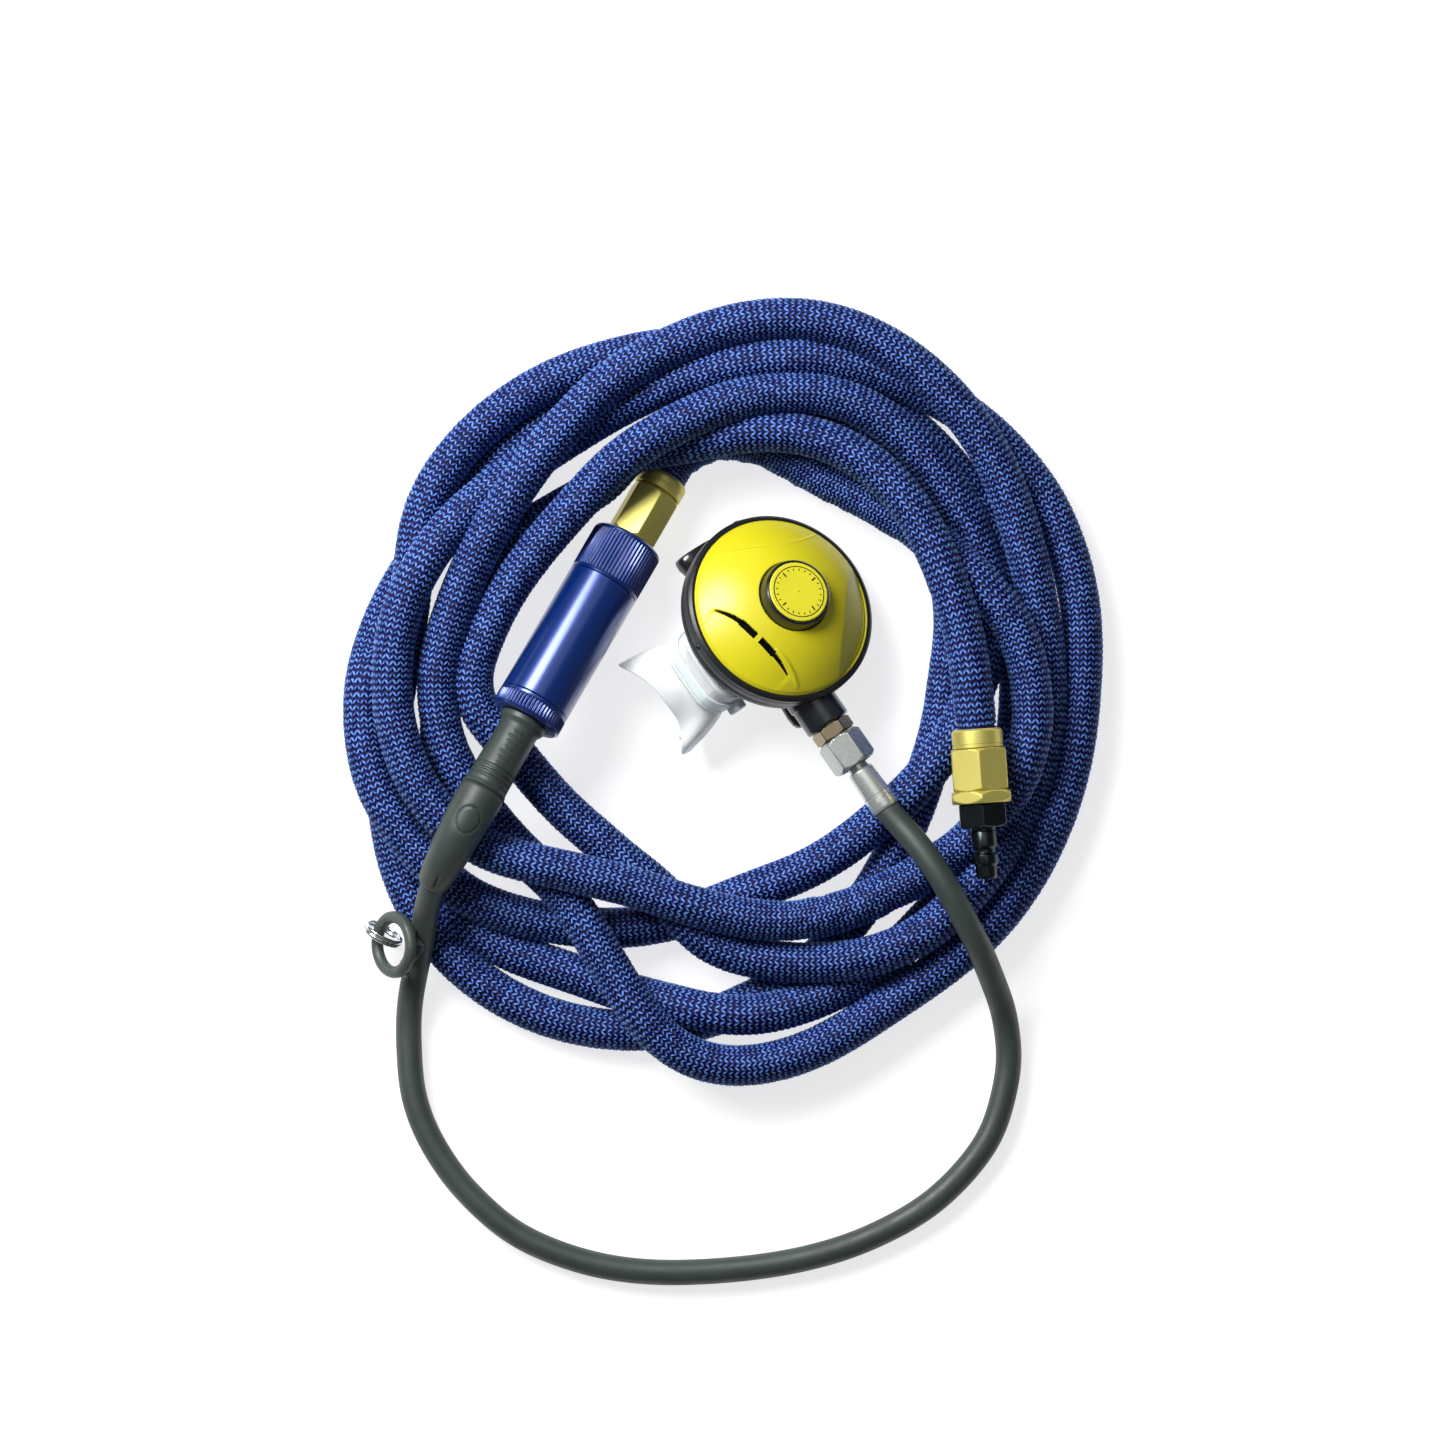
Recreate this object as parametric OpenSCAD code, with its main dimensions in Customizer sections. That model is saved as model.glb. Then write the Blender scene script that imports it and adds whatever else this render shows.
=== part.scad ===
// Surface-supply scuba regulator set: a demand valve on a short low-pressure
// hose, an in-line filter housing, and a coiled textile-covered supply hose
// that ends in a quick-connect plug. Millimetres, +Z up, lying on z = 0.

/* [Demand valve] */
// Radius of the front cover at its edge
cover_r = 39.2; // [38.8:0.1:39.2]
// Rise of the cover dome above its edge
cover_rise = 16; // [15.6:0.1:16.4]
// Radius of the purge button where it leaves the cover
button_r = 15.3; // [14.8:0.1:15.3]
// Outer radius of the black clamp ring
ring_r = 41.7; // [41.4:0.1:42.2]
// Lean of the cover's face from straight up, degrees
stage_tilt = 29; // [28.5:0.5:29.5]
// Width across flats of the swivel nut
nut_af = 17.5; // [17:0.1:18]

/* [Filter housing] */
// Radius of the blue housing tube
tube_r = 15.55; // [15.4:0.05:15.7]
// Number of ridges in each knurled grip
knurl_n = 60; // [40:2:72]
// Width across flats of the brass adapter
adapter_af = 19.5; // [19:0.1:20]

/* [Hoses] */
// Outer radius of the low-pressure hose
lp_r = 5.5; // [5.3:0.1:5.5]
// Outer radius of the textile-covered supply hose
supply_r = 8.5; // [8.3:0.1:8.5]
// Inner radius of the coiled supply hose
coil_in = 79; // [79:1:81]
// Outer radius of the coiled supply hose
coil_out = 164; // [162:1:164]
// Height of the coil
coil_h = 26; // [24:0.5:26]

/* [Supply fitting] */
// Width across flats of the far brass hex
far_af = 22.9; // [22.5:0.1:23]
// Radius of the quick-connect plug's shank
plug_r = 5.4; // [5.2:0.1:5.4]

/* [Hidden] */

$fn = 96;

// the coil's centre in the part's frame
base = [11.5, -21.6, 0];

// demand valve: cover-edge centre, heading of its lean, and roll about its face normal
stage_pos = base + [25.1, 35.8, 36];
stage_az = 42.2;
stage_roll = -98.8;
inlet_y = -5.8;
inlet_z = -14;
// centre of the clamp band on the mouth tube
mouth_pos = [2.8, -31.6, -29.8];
mouth_tilt = 25;

// filter housing: centre of its hose end, heading and fall towards the brass end
house_pos = base + [-83.5, -11.7, 42.5];
house_az = 60;
house_fall = 14;

// far fitting: centre of its collar's hose end, heading and fall towards the plug
far_pos = base + [107.2, -15.7, 43.5];
far_az = -86;
far_fall = -1;

dome_R = (cover_r * cover_r + cover_rise * cover_rise) / (2 * cover_rise);

// centreline of the low-pressure hose, from the crimp ferrule over the coil,
// along the ground, and up over the coil to the filter housing
lp_path = [
    [77.5, -58.5, 36.2], [86, -69, 39.5], [93, -79.5, 41], [99, -90, 40],
    [104.5, -100.5, 36.8], [109, -109, 32], [112, -116, 27.2], [116, -126, 18.5],
    [119, -134, 12.5], [121, -145, 7.2], [122, -156, 5.7], [120, -169, 5.6],
    [117, -181, 5.6], [112, -192, 5.6], [104.5, -202, 5.6], [95, -212, 5.6],
    [85, -220, 5.6], [71, -228, 5.6], [56.5, -234.5, 5.6], [40.5, -239.5, 5.6],
    [24, -243, 5.6], [-2, -246, 5.6], [-31, -246.5, 5.6], [-45.5, -245, 5.6],
    [-59.5, -242, 5.6], [-71.5, -238, 5.6], [-83, -233, 5.6], [-94, -226, 5.6],
    [-104, -217, 5.6], [-113, -207.5, 5.6], [-120, -197.5, 5.6], [-125, -189, 5.6],
    [-129, -179.5, 5.6], [-132, -168.5, 5.6], [-133, -156, 5.6], [-133.5, -145, 5.8],
    [-133, -133, 7.4], [-131.5, -124, 10.4], [-129.5, -115, 14.8], [-127.5, -106, 20.4],
    [-126, -97.5, 27], [-124.5, -89, 34]];
// the bend under the lower hose protector
boot_path = [[-122, -81, 40.6], [-118, -73, 46.1], [-114, -65.5, 49.8],
    [-110, -58, 51.9], [-106, -50.8, 52.2]];
// supply hose where it leaves the near brass collar and where it meets the far one
near_path = [[-21, 95.2, 11.7], [-18, 96.8, 11.1], [-14, 97.5, 10.5], [-8, 98.5, 10], [0, 99, 9.5], [9, 98.5, 9.5]];
far_path = [[106.4, -6, 44.1], [105, 4, 43], [103.5, 16, 40],
    [101, 28, 34], [97, 41, 26], [92, 54, 18]];

function unit(v) = v / norm(v);
function house_pt(s) = house_pos + s * [cos(house_az) * cos(house_fall), sin(house_az) * cos(house_fall), -sin(house_fall)];
function far_pt(s) = far_pos + s * [cos(far_az) * cos(far_fall), sin(far_az) * cos(far_fall), -sin(far_fall)];
function lp_house(s) = [house_pos[0] - s * cos(house_az) * cos(house_fall),
    house_pos[1] - s * sin(house_az) * cos(house_fall), house_pos[2] + s * sin(house_fall)];

// the frame of the demand valve as vectors
function stage_vec(v) = let (
        a = [v[0] * cos(stage_roll) - v[1] * sin(stage_roll), v[0] * sin(stage_roll) + v[1] * cos(stage_roll), v[2]],
        b = [a[0] * cos(stage_tilt) + a[2] * sin(stage_tilt), a[1], -a[0] * sin(stage_tilt) + a[2] * cos(stage_tilt)])
    [b[0] * cos(stage_az) - b[1] * sin(stage_az), b[0] * sin(stage_az) + b[1] * cos(stage_az), b[2]];
function stage_pt(p) = stage_pos + stage_vec(p);

// ---- sweeps ----------------------------------------------------------------
// one closed tube along points p, with a radius for each point
function ring_dirs(p) = [for (i = [0:len(p) - 1])
    unit(i == 0 ? p[1] - p[0] : i == len(p) - 1 ? p[i] - p[i - 1] : unit(p[i + 1] - p[i]) + unit(p[i] - p[i - 1]))];
function side_of(t) = unit(cross(t, abs(t[2]) > 0.9 ? [1, 0, 0] : [0, 0, 1]));
module sweep(p, r, n = 10) {
    t = ring_dirs(p);
    pts = [for (i = [0:len(p) - 1]) let (s = side_of(t[i]), u = cross(s, t[i]))
        for (k = [0:n - 1]) p[i] + r[i] * (cos(k * 360 / n) * s + sin(k * 360 / n) * u)];
    m = len(p);
    faces = concat(
        [[for (k = [0:n - 1]) k]],
        [for (i = [0:m - 2]) for (k = [0:n - 1]) let (a = i * n + k, b = i * n + (k + 1) % n) [a, a + n, b + n, b]],
        [[for (k = [n - 1:-1:0]) (m - 1) * n + k]]);
    polyhedron(points = pts, faces = faces, convexity = 10);
}
// a hollow sleeve along points p, with an outer and an inner radius for each point
module sleeve(p, ro, ri, n = 16) {
    t = ring_dirs(p);
    m = len(p);
    pts = [for (r = [ro, ri]) for (i = [0:m - 1]) let (s = side_of(t[i]), u = cross(s, t[i]))
        for (k = [0:n - 1]) p[i] + r[i] * (cos(k * 360 / n) * s + sin(k * 360 / n) * u)];
    q = m * n;
    faces = concat(
        [for (i = [0:m - 2]) for (k = [0:n - 1]) let (a = i * n + k, b = i * n + (k + 1) % n) [a, a + n, b + n, b]],
        [for (i = [0:m - 2]) for (k = [0:n - 1]) let (a = i * n + k, b = i * n + (k + 1) % n) [q + a, q + b, q + b + n, q + a + n]],
        [for (k = [0:n - 1]) let (b = (k + 1) % n) [k, b, q + b, q + k]],
        [for (k = [0:n - 1]) let (b = (k + 1) % n, e = q - n) [e + b, e + k, q + e + k, q + e + b]]);
    polyhedron(points = pts, faces = faces, convexity = 10);
}
// a helical wire about z from z0 to z1
module helix(r, w, z0, z1, turns, n = 8) {
    steps = turns * 14;
    p = [for (i = [0:steps]) [r * cos(i * 360 / 14), r * sin(i * 360 / 14), z0 + (z1 - z0) * i / steps]];
    sweep(p, [for (i = [0:steps]) w], n);
}
function rel(p) = [for (q = p) base + q];

// ---- placement -------------------------------------------------------------
module at_stage() {
    translate(stage_pos) rotate([0, 0, stage_az]) rotate([0, stage_tilt, 0]) rotate([0, 0, stage_roll]) children();
}
// along the inlet axis: +z of the children runs out towards the hose
module along_inlet() {
    at_stage() translate([0, inlet_y, inlet_z]) rotate([0, 90, 0]) children();
}
// the mouth tube: -z of the children runs towards the mouth
module at_mouth() {
    at_stage() translate(mouth_pos) rotate([-mouth_tilt, 0, 0]) children();
}
module at_house() {
    translate(house_pos) rotate([0, 90 + house_fall, house_az]) children();
}
module at_far() {
    translate(far_pos) rotate([0, 90 + far_fall, far_az]) children();
}

// ---- small shapes ----------------------------------------------------------
// a bar with half-round ends, lying along x
module stadium(r, c, z0, z1) {
    translate([-c, 0, z0]) cylinder(r = r, h = z1 - z0);
    translate([c, 0, z0]) cylinder(r = r, h = z1 - z0);
    translate([-c, -r, z0]) cube([2 * c, 2 * r, z1 - z0]);
}
module tube(ro, ri, z0, z1) {
    difference() {
        translate([0, 0, z0]) cylinder(r = ro, h = z1 - z0);
        translate([0, 0, z0 - 1]) cylinder(r = ri, h = z1 - z0 + 2);
    }
}
module hex(af, z0, z1) {
    translate([0, 0, z0]) cylinder(r = af / sqrt(3), h = z1 - z0, $fn = 6);
}
// a hexagon with turned, chamfered ends
module turned_hex(af, z0, z1, c = 1) {
    R = af / sqrt(3);
    intersection() {
        hex(af, z0, z1);
        rotate_extrude() polygon([[0, z0], [af / 2 - 0.2, z0], [R + 0.3, z0 + c], [R + 0.3, z1 - c], [af / 2 - 0.2, z1], [0, z1]]);
    }
}
function knurl_pts(r, d, n) = [for (i = [0:2 * n - 1]) let (q = i % 2 == 0 ? r : r - d, a = i * 180 / n) [q * cos(a), q * sin(a)]];
module knurled(r, d, n, z0, z1) {
    translate([0, 0, z0]) linear_extrude(height = z1 - z0) polygon(knurl_pts(r, d, n));
}
module torus(R, r) {
    rotate_extrude() translate([R, 0]) circle(r = r, $fn = 32);
}

// ---- demand valve ----------------------------------------------------------
module front_cover() {
    color("gold") at_stage() difference() {
        union() {
            intersection() {
                translate([0, 0, cover_rise - dome_R]) sphere(r = dome_R);
                cylinder(r = cover_r, h = 30);
            }
            translate([0, 0, -3.2]) cylinder(r = cover_r, h = 3.2);
        }
        intersection() {
            translate([0, 0, cover_rise - dome_R]) sphere(r = dome_R - 2);
            translate([0, 0, -5]) cylinder(r = cover_r - 2, h = 30);
        }
        translate([0, 0, -4]) cylinder(r = cover_r - 2, h = 4.2);
        cylinder(r = button_r + 0.3, h = 30);
        // two vent slots either side of a rib
        rotate([0, 0, -74.5]) for (s = [-1, 1]) translate([24.3, s * 5.4, 8]) rotate([0, 0, s * 12])
            cube([1.6, 8.4, 14], center = true);
    }
}
module cover_ring() {
    color("dimgray") difference() {
        at_stage() rotate_extrude() polygon([[39.4, -0.6], [ring_r - 1.1, -0.6], [ring_r, -1.8], [ring_r, -8],
            [38.9, -8], [38.9, -3.5], [39.4, -3.5]]);
        along_inlet() translate([0, 0, 20]) cylinder(r = 10.2, h = 40);
    }
}
module case_body() {
    color("black") difference() {
        union() {
            at_stage() rotate_extrude() polygon([[0, -24.5], [22, -24.5], [29, -22.5], [35, -19], [39.5, -15],
                [41, -12.5], [41, -8.3], [38.8, -8.3], [38.8, -4.25], [36.6, -4.25], [36.6, -13], [35, -15],
                [31, -18], [26, -20.5], [20, -22], [0, -22]]);
            along_inlet() translate([0, 0, 34]) cylinder(r = 10, h = 17.7);
            at_mouth() stadium(9.5, 6, -6, 11);
            at_stage() translate([2.5, -1, 0]) tube(14.4, 13.3, -27, -24.4);
        }
        along_inlet() translate([0, 0, 34]) cylinder(r = 7.6, h = 21);
        along_inlet() translate([0, 0, 24]) cylinder(r = 5.4, h = 14);
        at_mouth() stadium(7.5, 6, -7, 16);
        // exhaust port with a cross of ribs and a stem boss
        at_stage() translate([2.5, -1, -25]) difference() {
            cylinder(r = 10.5, h = 4);
            translate([-12, -1, -1]) cube([24, 2, 6]);
            translate([-1, -12, -1]) cube([2, 24, 6]);
            translate([0, 0, -1]) cylinder(r = 2.6, h = 6);
        }
        at_stage() translate([2.5, -1, -26]) cylinder(r = 1.25, h = 8);
    }
}
module purge_button() {
    color("black") at_stage() rotate_extrude() polygon([[0, -2.3], [5, -2.3], [5, 8.6], [17, 8.6], [17, 10],
        [button_r, 10], [button_r, 13.6], [button_r - 0.9, 18.9], [button_r - 1.5, 19.5], [13.2, 19.5], [13.2, 18.5], [0, 18.5]]);
}
module purge_label_disc() {
    color("gold") at_stage() translate([0, 0, 18.5]) cylinder(r = 13.1, h = 1.2);
}
module purge_guide() {
    color("gray") at_stage() difference() {
        union() {
            translate([0, 0, 0.2]) cylinder(r = 33.9, h = 1.3);
            tube(33.9, 31.5, -1.2, 1.5);
            tube(36.9, 31.5, -1.2, 0);
        }
        translate([0, 0, -2]) cylinder(r = 5.06, h = 5);
        for (i = [0:7]) rotate([0, 0, i * 45]) translate([22, 0, -2]) cylinder(r = 6, h = 5);
    }
}
module purge_spring() {
    color("silver") at_stage() helix(7.2, 0.5, 2.1, 8.0, 4);
}
module diaphragm() {
    color("darkslategray") at_stage() rotate_extrude() polygon([[14, -4.2], [38.6, -4.2], [38.6, -3.2], [30, -3.2],
        [28.5, -2.4], [25.5, -2.4], [24, -3.2], [14, -3.2]]);
}
module diaphragm_disc() {
    color("lightgray") at_stage() translate([0, 0, -3.8]) cylinder(r = 13.7, h = 1.2);
}
module demand_lever() {
    color("silver") at_stage() {
        translate([-20, 3.2, -8]) rotate([90, 0, 0]) cylinder(r = 1.4, h = 13.2);
        translate([0, 2.6, -5.4]) rotate([90, 0, 0]) cylinder(r = 1.2, h = 3.4);
        translate([-20, 1.6, -8]) rotate([0, 90 - atan(2.6 / 20), 0]) cylinder(r = 0.9, h = 20);
        translate([-20.6, -8, -14.8]) cube([1.2, 0.9, 6.6]);
        translate([-20.6, -4.5, -14.8]) cube([1.2, 0.9, 6.6]);
    }
}
module valve_barrel() {
    color("silver") difference() {
        union() {
            along_inlet() translate([0, 0, -17]) cylinder(r = 5, h = 55);
            at_stage() translate([-22.6, -9.8, -14]) cube([6.6, 1.4, 8.2]);
            at_stage() translate([-22.6, -2.6, -14]) cube([6.6, 1.4, 8.2]);
        }
        along_inlet() translate([0, 0, -10]) cylinder(r = 4.3, h = 60);
        along_inlet() translate([0, 0, -20]) cylinder(r = 2.8, h = 30);
        at_stage() translate([-20, 5, -8]) rotate([90, 0, 0]) cylinder(r = 1.45, h = 20);
        // outlet ports
        at_stage() translate([2, 5, inlet_z]) rotate([90, 0, 0]) cylinder(r = 1.6, h = 20);
    }
}
module poppet() {
    color("khaki") along_inlet() {
        translate([0, 0, -16.8]) cylinder(r = 2.7, h = 6.6);
        translate([0, 0, -22]) cylinder(r = 0.9, h = 46);
        translate([0, 0, -23]) cylinder(r = 2, h = 1.9);
        translate([0, 0, 22]) cylinder(r = 4.2, h = 5.2);
    }
}
module poppet_spring() {
    color("silver") along_inlet() helix(2.9, 0.45, -9.3, 21.3, 9);
}
module inlet_fitting() {
    color("tan") along_inlet() difference() {
        union() {
            translate([0, 0, 27.6]) cylinder(r = 4.2, h = 12);
            translate([0, 0, 38.2]) cylinder(r = 7.5, h = 14);
            turned_hex(16, 51.9, 57.8, 0.7);
            translate([0, 0, 57]) cylinder(r = 7.1, h = 9);
        }
        translate([0, 0, 20]) cylinder(r = 1.7, h = 50);
        translate([0, 0, 60]) cylinder(r = 4.05, h = 8);
    }
}
module swivel_nut() {
    color("silver") along_inlet() difference() {
        turned_hex(nut_af, 58.1, 72.4, 1.1);
        translate([0, 0, 57]) cylinder(r = 7.15, h = 10.6);
        translate([0, 0, 60]) cylinder(r = 4.6, h = 14);
    }
}
module exhaust_valve() {
    color("whitesmoke") at_stage() translate([2.5, -1, 0]) {
        translate([0, 0, -25.8]) cylinder(r = 12.4, h = 0.9);
        translate([0, 0, -25.2]) cylinder(r = 1.2, h = 5.2);
        translate([0, 0, -20.6]) cylinder(r = 1.8, h = 1.2);
    }
}
module exhaust_tee() {
    color("black") at_stage() difference() {
        union() {
            translate([2.5, -1, -32.8]) cylinder(r = 15.8, h = 8);
            translate([0, 0, -32.9]) linear_extrude(height = 7.7) polygon([[-40, -4.5], [-35.5, -9.5], [40, -9.5],
                [44.6, -5], [44.6, 3], [40.5, 7.5], [-36, 7.5], [-40, 3.2]]);
        }
        translate([2.5, -1, -31.3]) cylinder(r = 14.5, h = 8);
        translate([-45, -7.9, -31.3]) cube([95, 13.8, 4.5]);
    }
}
module mouthpiece() {
    color("white") at_mouth() difference() {
        union() {
            stadium(11.8, 6, -14, 4);
            // lip shield: an upright plate curved round the teeth
            translate([0, 0, -14]) rotate([-16, 0, 0]) intersection() {
                translate([0, 0, -37]) rotate([90, 0, 0]) translate([0, 0, -15]) difference() {
                    cylinder(r = 34, h = 30);
                    translate([0, 0, -1]) cylinder(r = 30.8, h = 32);
                }
                translate([-23.5, -15, -22]) cube([47, 24.9, 40]);
            }
            // bite lugs
            translate([0, 0, -14]) rotate([-16, 0, 0]) for (s = [-1, 1])
                translate([s * 17 - 2, -4.5, -18]) cube([4, 9, 14]);
        }
        stadium(9.55, 6, -6.05, 5);
        stadium(8.4, 6, -7, -5);
        translate([0, 0, -5]) rotate([-10, 0, 0]) stadium(6.4, 7, -20, 4);
    }
}
module mouthpiece_tie() {
    color("white") at_mouth() difference() {
        union() {
            stadium(12.9, 6, -2.3, 2.3);
            translate([15.5, 1, -3.2]) cube([6.4, 6, 6.4]);
        }
        stadium(11.85, 6, -4, 4);
    }
}

// ---- low-pressure hose ------------------------------------------------------
module hose_stem() {
    color("silver") along_inlet() difference() {
        union() {
            translate([0, 0, 61]) cylinder(r = 4, h = 6);
            translate([0, 0, 66.3]) cylinder(r = 6.6, h = 1.1);
            translate([0, 0, 67]) cylinder(r = 4.5, h = 8);
            translate([0, 0, 74]) cylinder(r = 3, h = 18);
        }
        translate([0, 0, 60]) cylinder(r = 2, h = 40);
        translate([0, 0, 63.2]) tube(5, 3.3, 0, 1.6);
    }
}
module stem_o_ring() {
    color("black") along_inlet() translate([0, 0, 64]) torus(3.35 + 0.3, 0.33);
}
module ferrule() {
    color("silver") along_inlet() difference() {
        rotate_extrude() polygon([[0, 74.8], [4.6, 74.8], [5.6, 76], [6.3, 93.8], [5.9, 94.8], [0, 94.8]]);
        translate([0, 0, 70]) cylinder(r = 3.05, h = 23);
        translate([0, 0, 70]) cylinder(r = 4.55, h = 5.1);
    }
}
function lp_full() = concat([stage_pt([94.8, inlet_y, inlet_z]), stage_pt([97.5, inlet_y, inlet_z])], rel(lp_path), rel(boot_path),
    [lp_house(38), lp_house(36), lp_house(25), lp_house(12), lp_house(0)]);
module lp_hose() {
    p = lp_full();
    color("darkslategray") sweep(p, [for (q = p) lp_r], 10);
}
function boot_pts() = concat([base + [-123, -84, 38.2]], rel(boot_path), [lp_house(38), lp_house(36.3)]);
module boot_lower() {
    p = boot_pts();
    color("black") sleeve(p, [6.7, 7.1, 8.1, 8.9, 9.4, 9.8, 10, 10.1], [for (q = p) lp_r + 0.3], 16);
}
module boot_upper() {
    color("black") at_house() difference() {
        rotate_extrude() polygon([[0, -35.9], [9.2, -35.9], [9.8, -34.5], [8.8, -14], [8.6, -6], [10.2, -2.6], [10.4, -0.35], [0, -0.35]]);
        translate([0, 0, -40]) cylinder(r = lp_r + 0.1, h = 45);
    }
}

// ---- filter housing ----------------------------------------------------------
module hose_end_fitting() {
    color("silver") at_house() tube(6.2, 2.5, 0, 16.5);
}
module filter_ring() {
    color("royalblue") at_house() difference() {
        union() {
            knurled(tube_r + 0.05, 0.45, knurl_n, 0, 7);
            translate([0, 0, 6.9]) cylinder(r = tube_r, h = 1.4);
            translate([0, 0, 8]) cylinder(r = 13.2, h = 8);
        }
        translate([0, 0, -1]) cylinder(r = 6.25, h = 20);
        tube(14, 12.2, 11.6, 13.4);
    }
}
module ring_o_ring() {
    color("black") at_house() translate([0, 0, 12.5]) torus(12.6, 0.38);
}
module filter_body() {
    color("royalblue") at_house() tube(tube_r, 13.3, 8.6, 68);
}
module felt_pads() {
    color("beige") at_house() {
        translate([0, 0, 17]) cylinder(r = 12.9, h = 3);
        translate([0, 0, 52]) cylinder(r = 12.9, h = 3);
    }
}
module filter_cartridge() {
    color("gray") at_house() tube(12.4, 4, 20.1, 51.9);
}
module filter_spring() {
    color("silver") at_house() helix(9, 0.6, 55.8, 81, 5);
}
module cap_o_ring() {
    color("black") at_house() translate([0, 0, 63.5]) torus(12.6, 0.38);
}
module filter_cap() {
    color("royalblue") at_house() difference() {
        union() {
            translate([0, 0, 60.5]) cylinder(r = 13.2, h = 9);
            translate([0, 0, 68.3]) cylinder(r = tube_r, h = 1);
            knurled(tube_r + 0.05, 0.45, knurl_n, 69.2, 88.6);
            rotate_extrude() polygon([[0, 88.5], [tube_r - 0.1, 88.5], [tube_r - 0.1, 89.2], [tube_r - 1.3, 90.3], [0, 90.3]]);
        }
        translate([0, 0, 60]) cylinder(r = 11, h = 22);
        translate([0, 0, 60]) cylinder(r = 7, h = 35);
        tube(14, 12.2, 62.6, 64.4);
    }
}
module brass_adapter() {
    color("goldenrod") at_house() difference() {
        union() {
            translate([0, 0, 82.6]) cylinder(r = 6.95, h = 9);
            rotate([0, 0, 10]) turned_hex(adapter_af, 90.6, 114.4, 1.1);
        }
        translate([0, 0, 80]) cylinder(r = 4, h = 40);
    }
}
module brass_collar() {
    color("goldenrod") at_house() difference() {
        union() {
            rotate_extrude() polygon([[0, 114.7], [10.6, 114.7], [10.6, 120.9], [9.8, 121.8], [0, 121.8]]);
            translate([0, 0, 98]) cylinder(r = 3.92, h = 17);
        }
        translate([0, 0, 95]) cylinder(r = 2.4, h = 24);
    }
}

// ---- supply hose --------------------------------------------------------------
module hose_lead_near() {
    p = concat([house_pt(121.8), house_pt(124)], rel(near_path));
    color("mediumblue") sweep(p, [for (q = p) supply_r], 12);
}
module hose_coil() {
    color("mediumblue") difference() {
        translate(base) rotate_extrude($fn = 180) polygon([[coil_in, 0], [coil_out, 0], [coil_out, coil_h - 13],
            [coil_out - 14, coil_h], [coil_in + 13, coil_h], [coil_in, coil_h - 15]]);
        // room for the near brass fitting and the grip beside it
        translate(base + [-24.2, 90.9, -1]) rotate([0, 0, 60]) translate([-76, -30, 0]) cube([80, 47.4, 60]);
    }
}
module hose_lead_far() {
    p = concat([far_pt(0), far_pt(-3)], rel(far_path));
    color("mediumblue") sweep(p, [for (q = p) supply_r], 12);
}
module far_collar() {
    color("goldenrod") at_far() difference() {
        union() {
            rotate_extrude() polygon([[0, 0], [10, 0], [10.8, 0.8], [10.8, 8], [0, 8]]);
            translate([0, 0, 7]) cylinder(r = 3.92, h = 17);
        }
        translate([0, 0, 3]) cylinder(r = 2.4, h = 24);
    }
}
module far_hex() {
    color("goldenrod") at_far() difference() {
        turned_hex(far_af, 8.3, 26.1, 1);
        translate([0, 0, 5]) cylinder(r = 4, h = 30);
        translate([0, 0, 24.4]) cylinder(r = 6.6, h = 4);
    }
}
module far_flange_nut() {
    color("goldenrod") at_far() difference() {
        turned_hex(24.8, 26.2, 31.4, 1.2);
        translate([0, 0, 20]) cylinder(r = 6.6, h = 14);
    }
}
module quick_connect_plug() {
    color("dimgray") at_far() difference() {
        union() {
            translate([0, 0, 24.6]) cylinder(r = 6.5, h = 8);
            turned_hex(19.5, 31.5, 41.6, 1);
            rotate_extrude() polygon([[0, 41], [plug_r, 41], [plug_r, 50], [plug_r - 1.1, 50.8], [plug_r - 1.1, 52.4],
                [plug_r, 53.2], [plug_r, 57], [plug_r - 0.9, 58], [plug_r - 0.9, 62.4], [plug_r - 1.5, 63.4], [0, 63.4]]);
        }
        translate([0, 0, 20]) cylinder(r = 2.6, h = 50);
    }
}

// ---- keeper ring --------------------------------------------------------------
// a rubber loop that leans on the low-pressure hose, with a steel split ring through it
keeper_pos = base + [-139.1, -107, 23.2];
keeper_tilt = 52.5;
link_pos = base + [-144.3, -102.5, 12.5];
module keeper_ring() {
    color("black") translate(keeper_pos) rotate([0, -keeper_tilt, 0]) torus(11.9, 2.6);
}
module split_ring() {
    color("silver") translate(link_pos) rotate([0, 0, -30]) rotate([105, 0, 0]) {
        translate([0, 0, 0.85]) torus(8.3, 0.95);
        translate([0, 0, -0.85]) torus(8.3, 0.95);
    }
}

// ---- output ---------------------------------------------------------------------
front_cover();
cover_ring();
case_body();
purge_button();
purge_label_disc();
purge_guide();
purge_spring();
diaphragm();
diaphragm_disc();
demand_lever();
valve_barrel();
poppet();
poppet_spring();
inlet_fitting();
swivel_nut();
exhaust_valve();
exhaust_tee();
mouthpiece();
mouthpiece_tie();
hose_stem();
stem_o_ring();
ferrule();
lp_hose();
boot_lower();
boot_upper();
hose_end_fitting();
filter_ring();
ring_o_ring();
filter_body();
felt_pads();
filter_cartridge();
filter_spring();
cap_o_ring();
filter_cap();
brass_adapter();
brass_collar();
hose_lead_near();
hose_coil();
hose_lead_far();
far_collar();
far_hex();
far_flange_nut();
quick_connect_plug();
keeper_ring();
split_ring();
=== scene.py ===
import math

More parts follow.
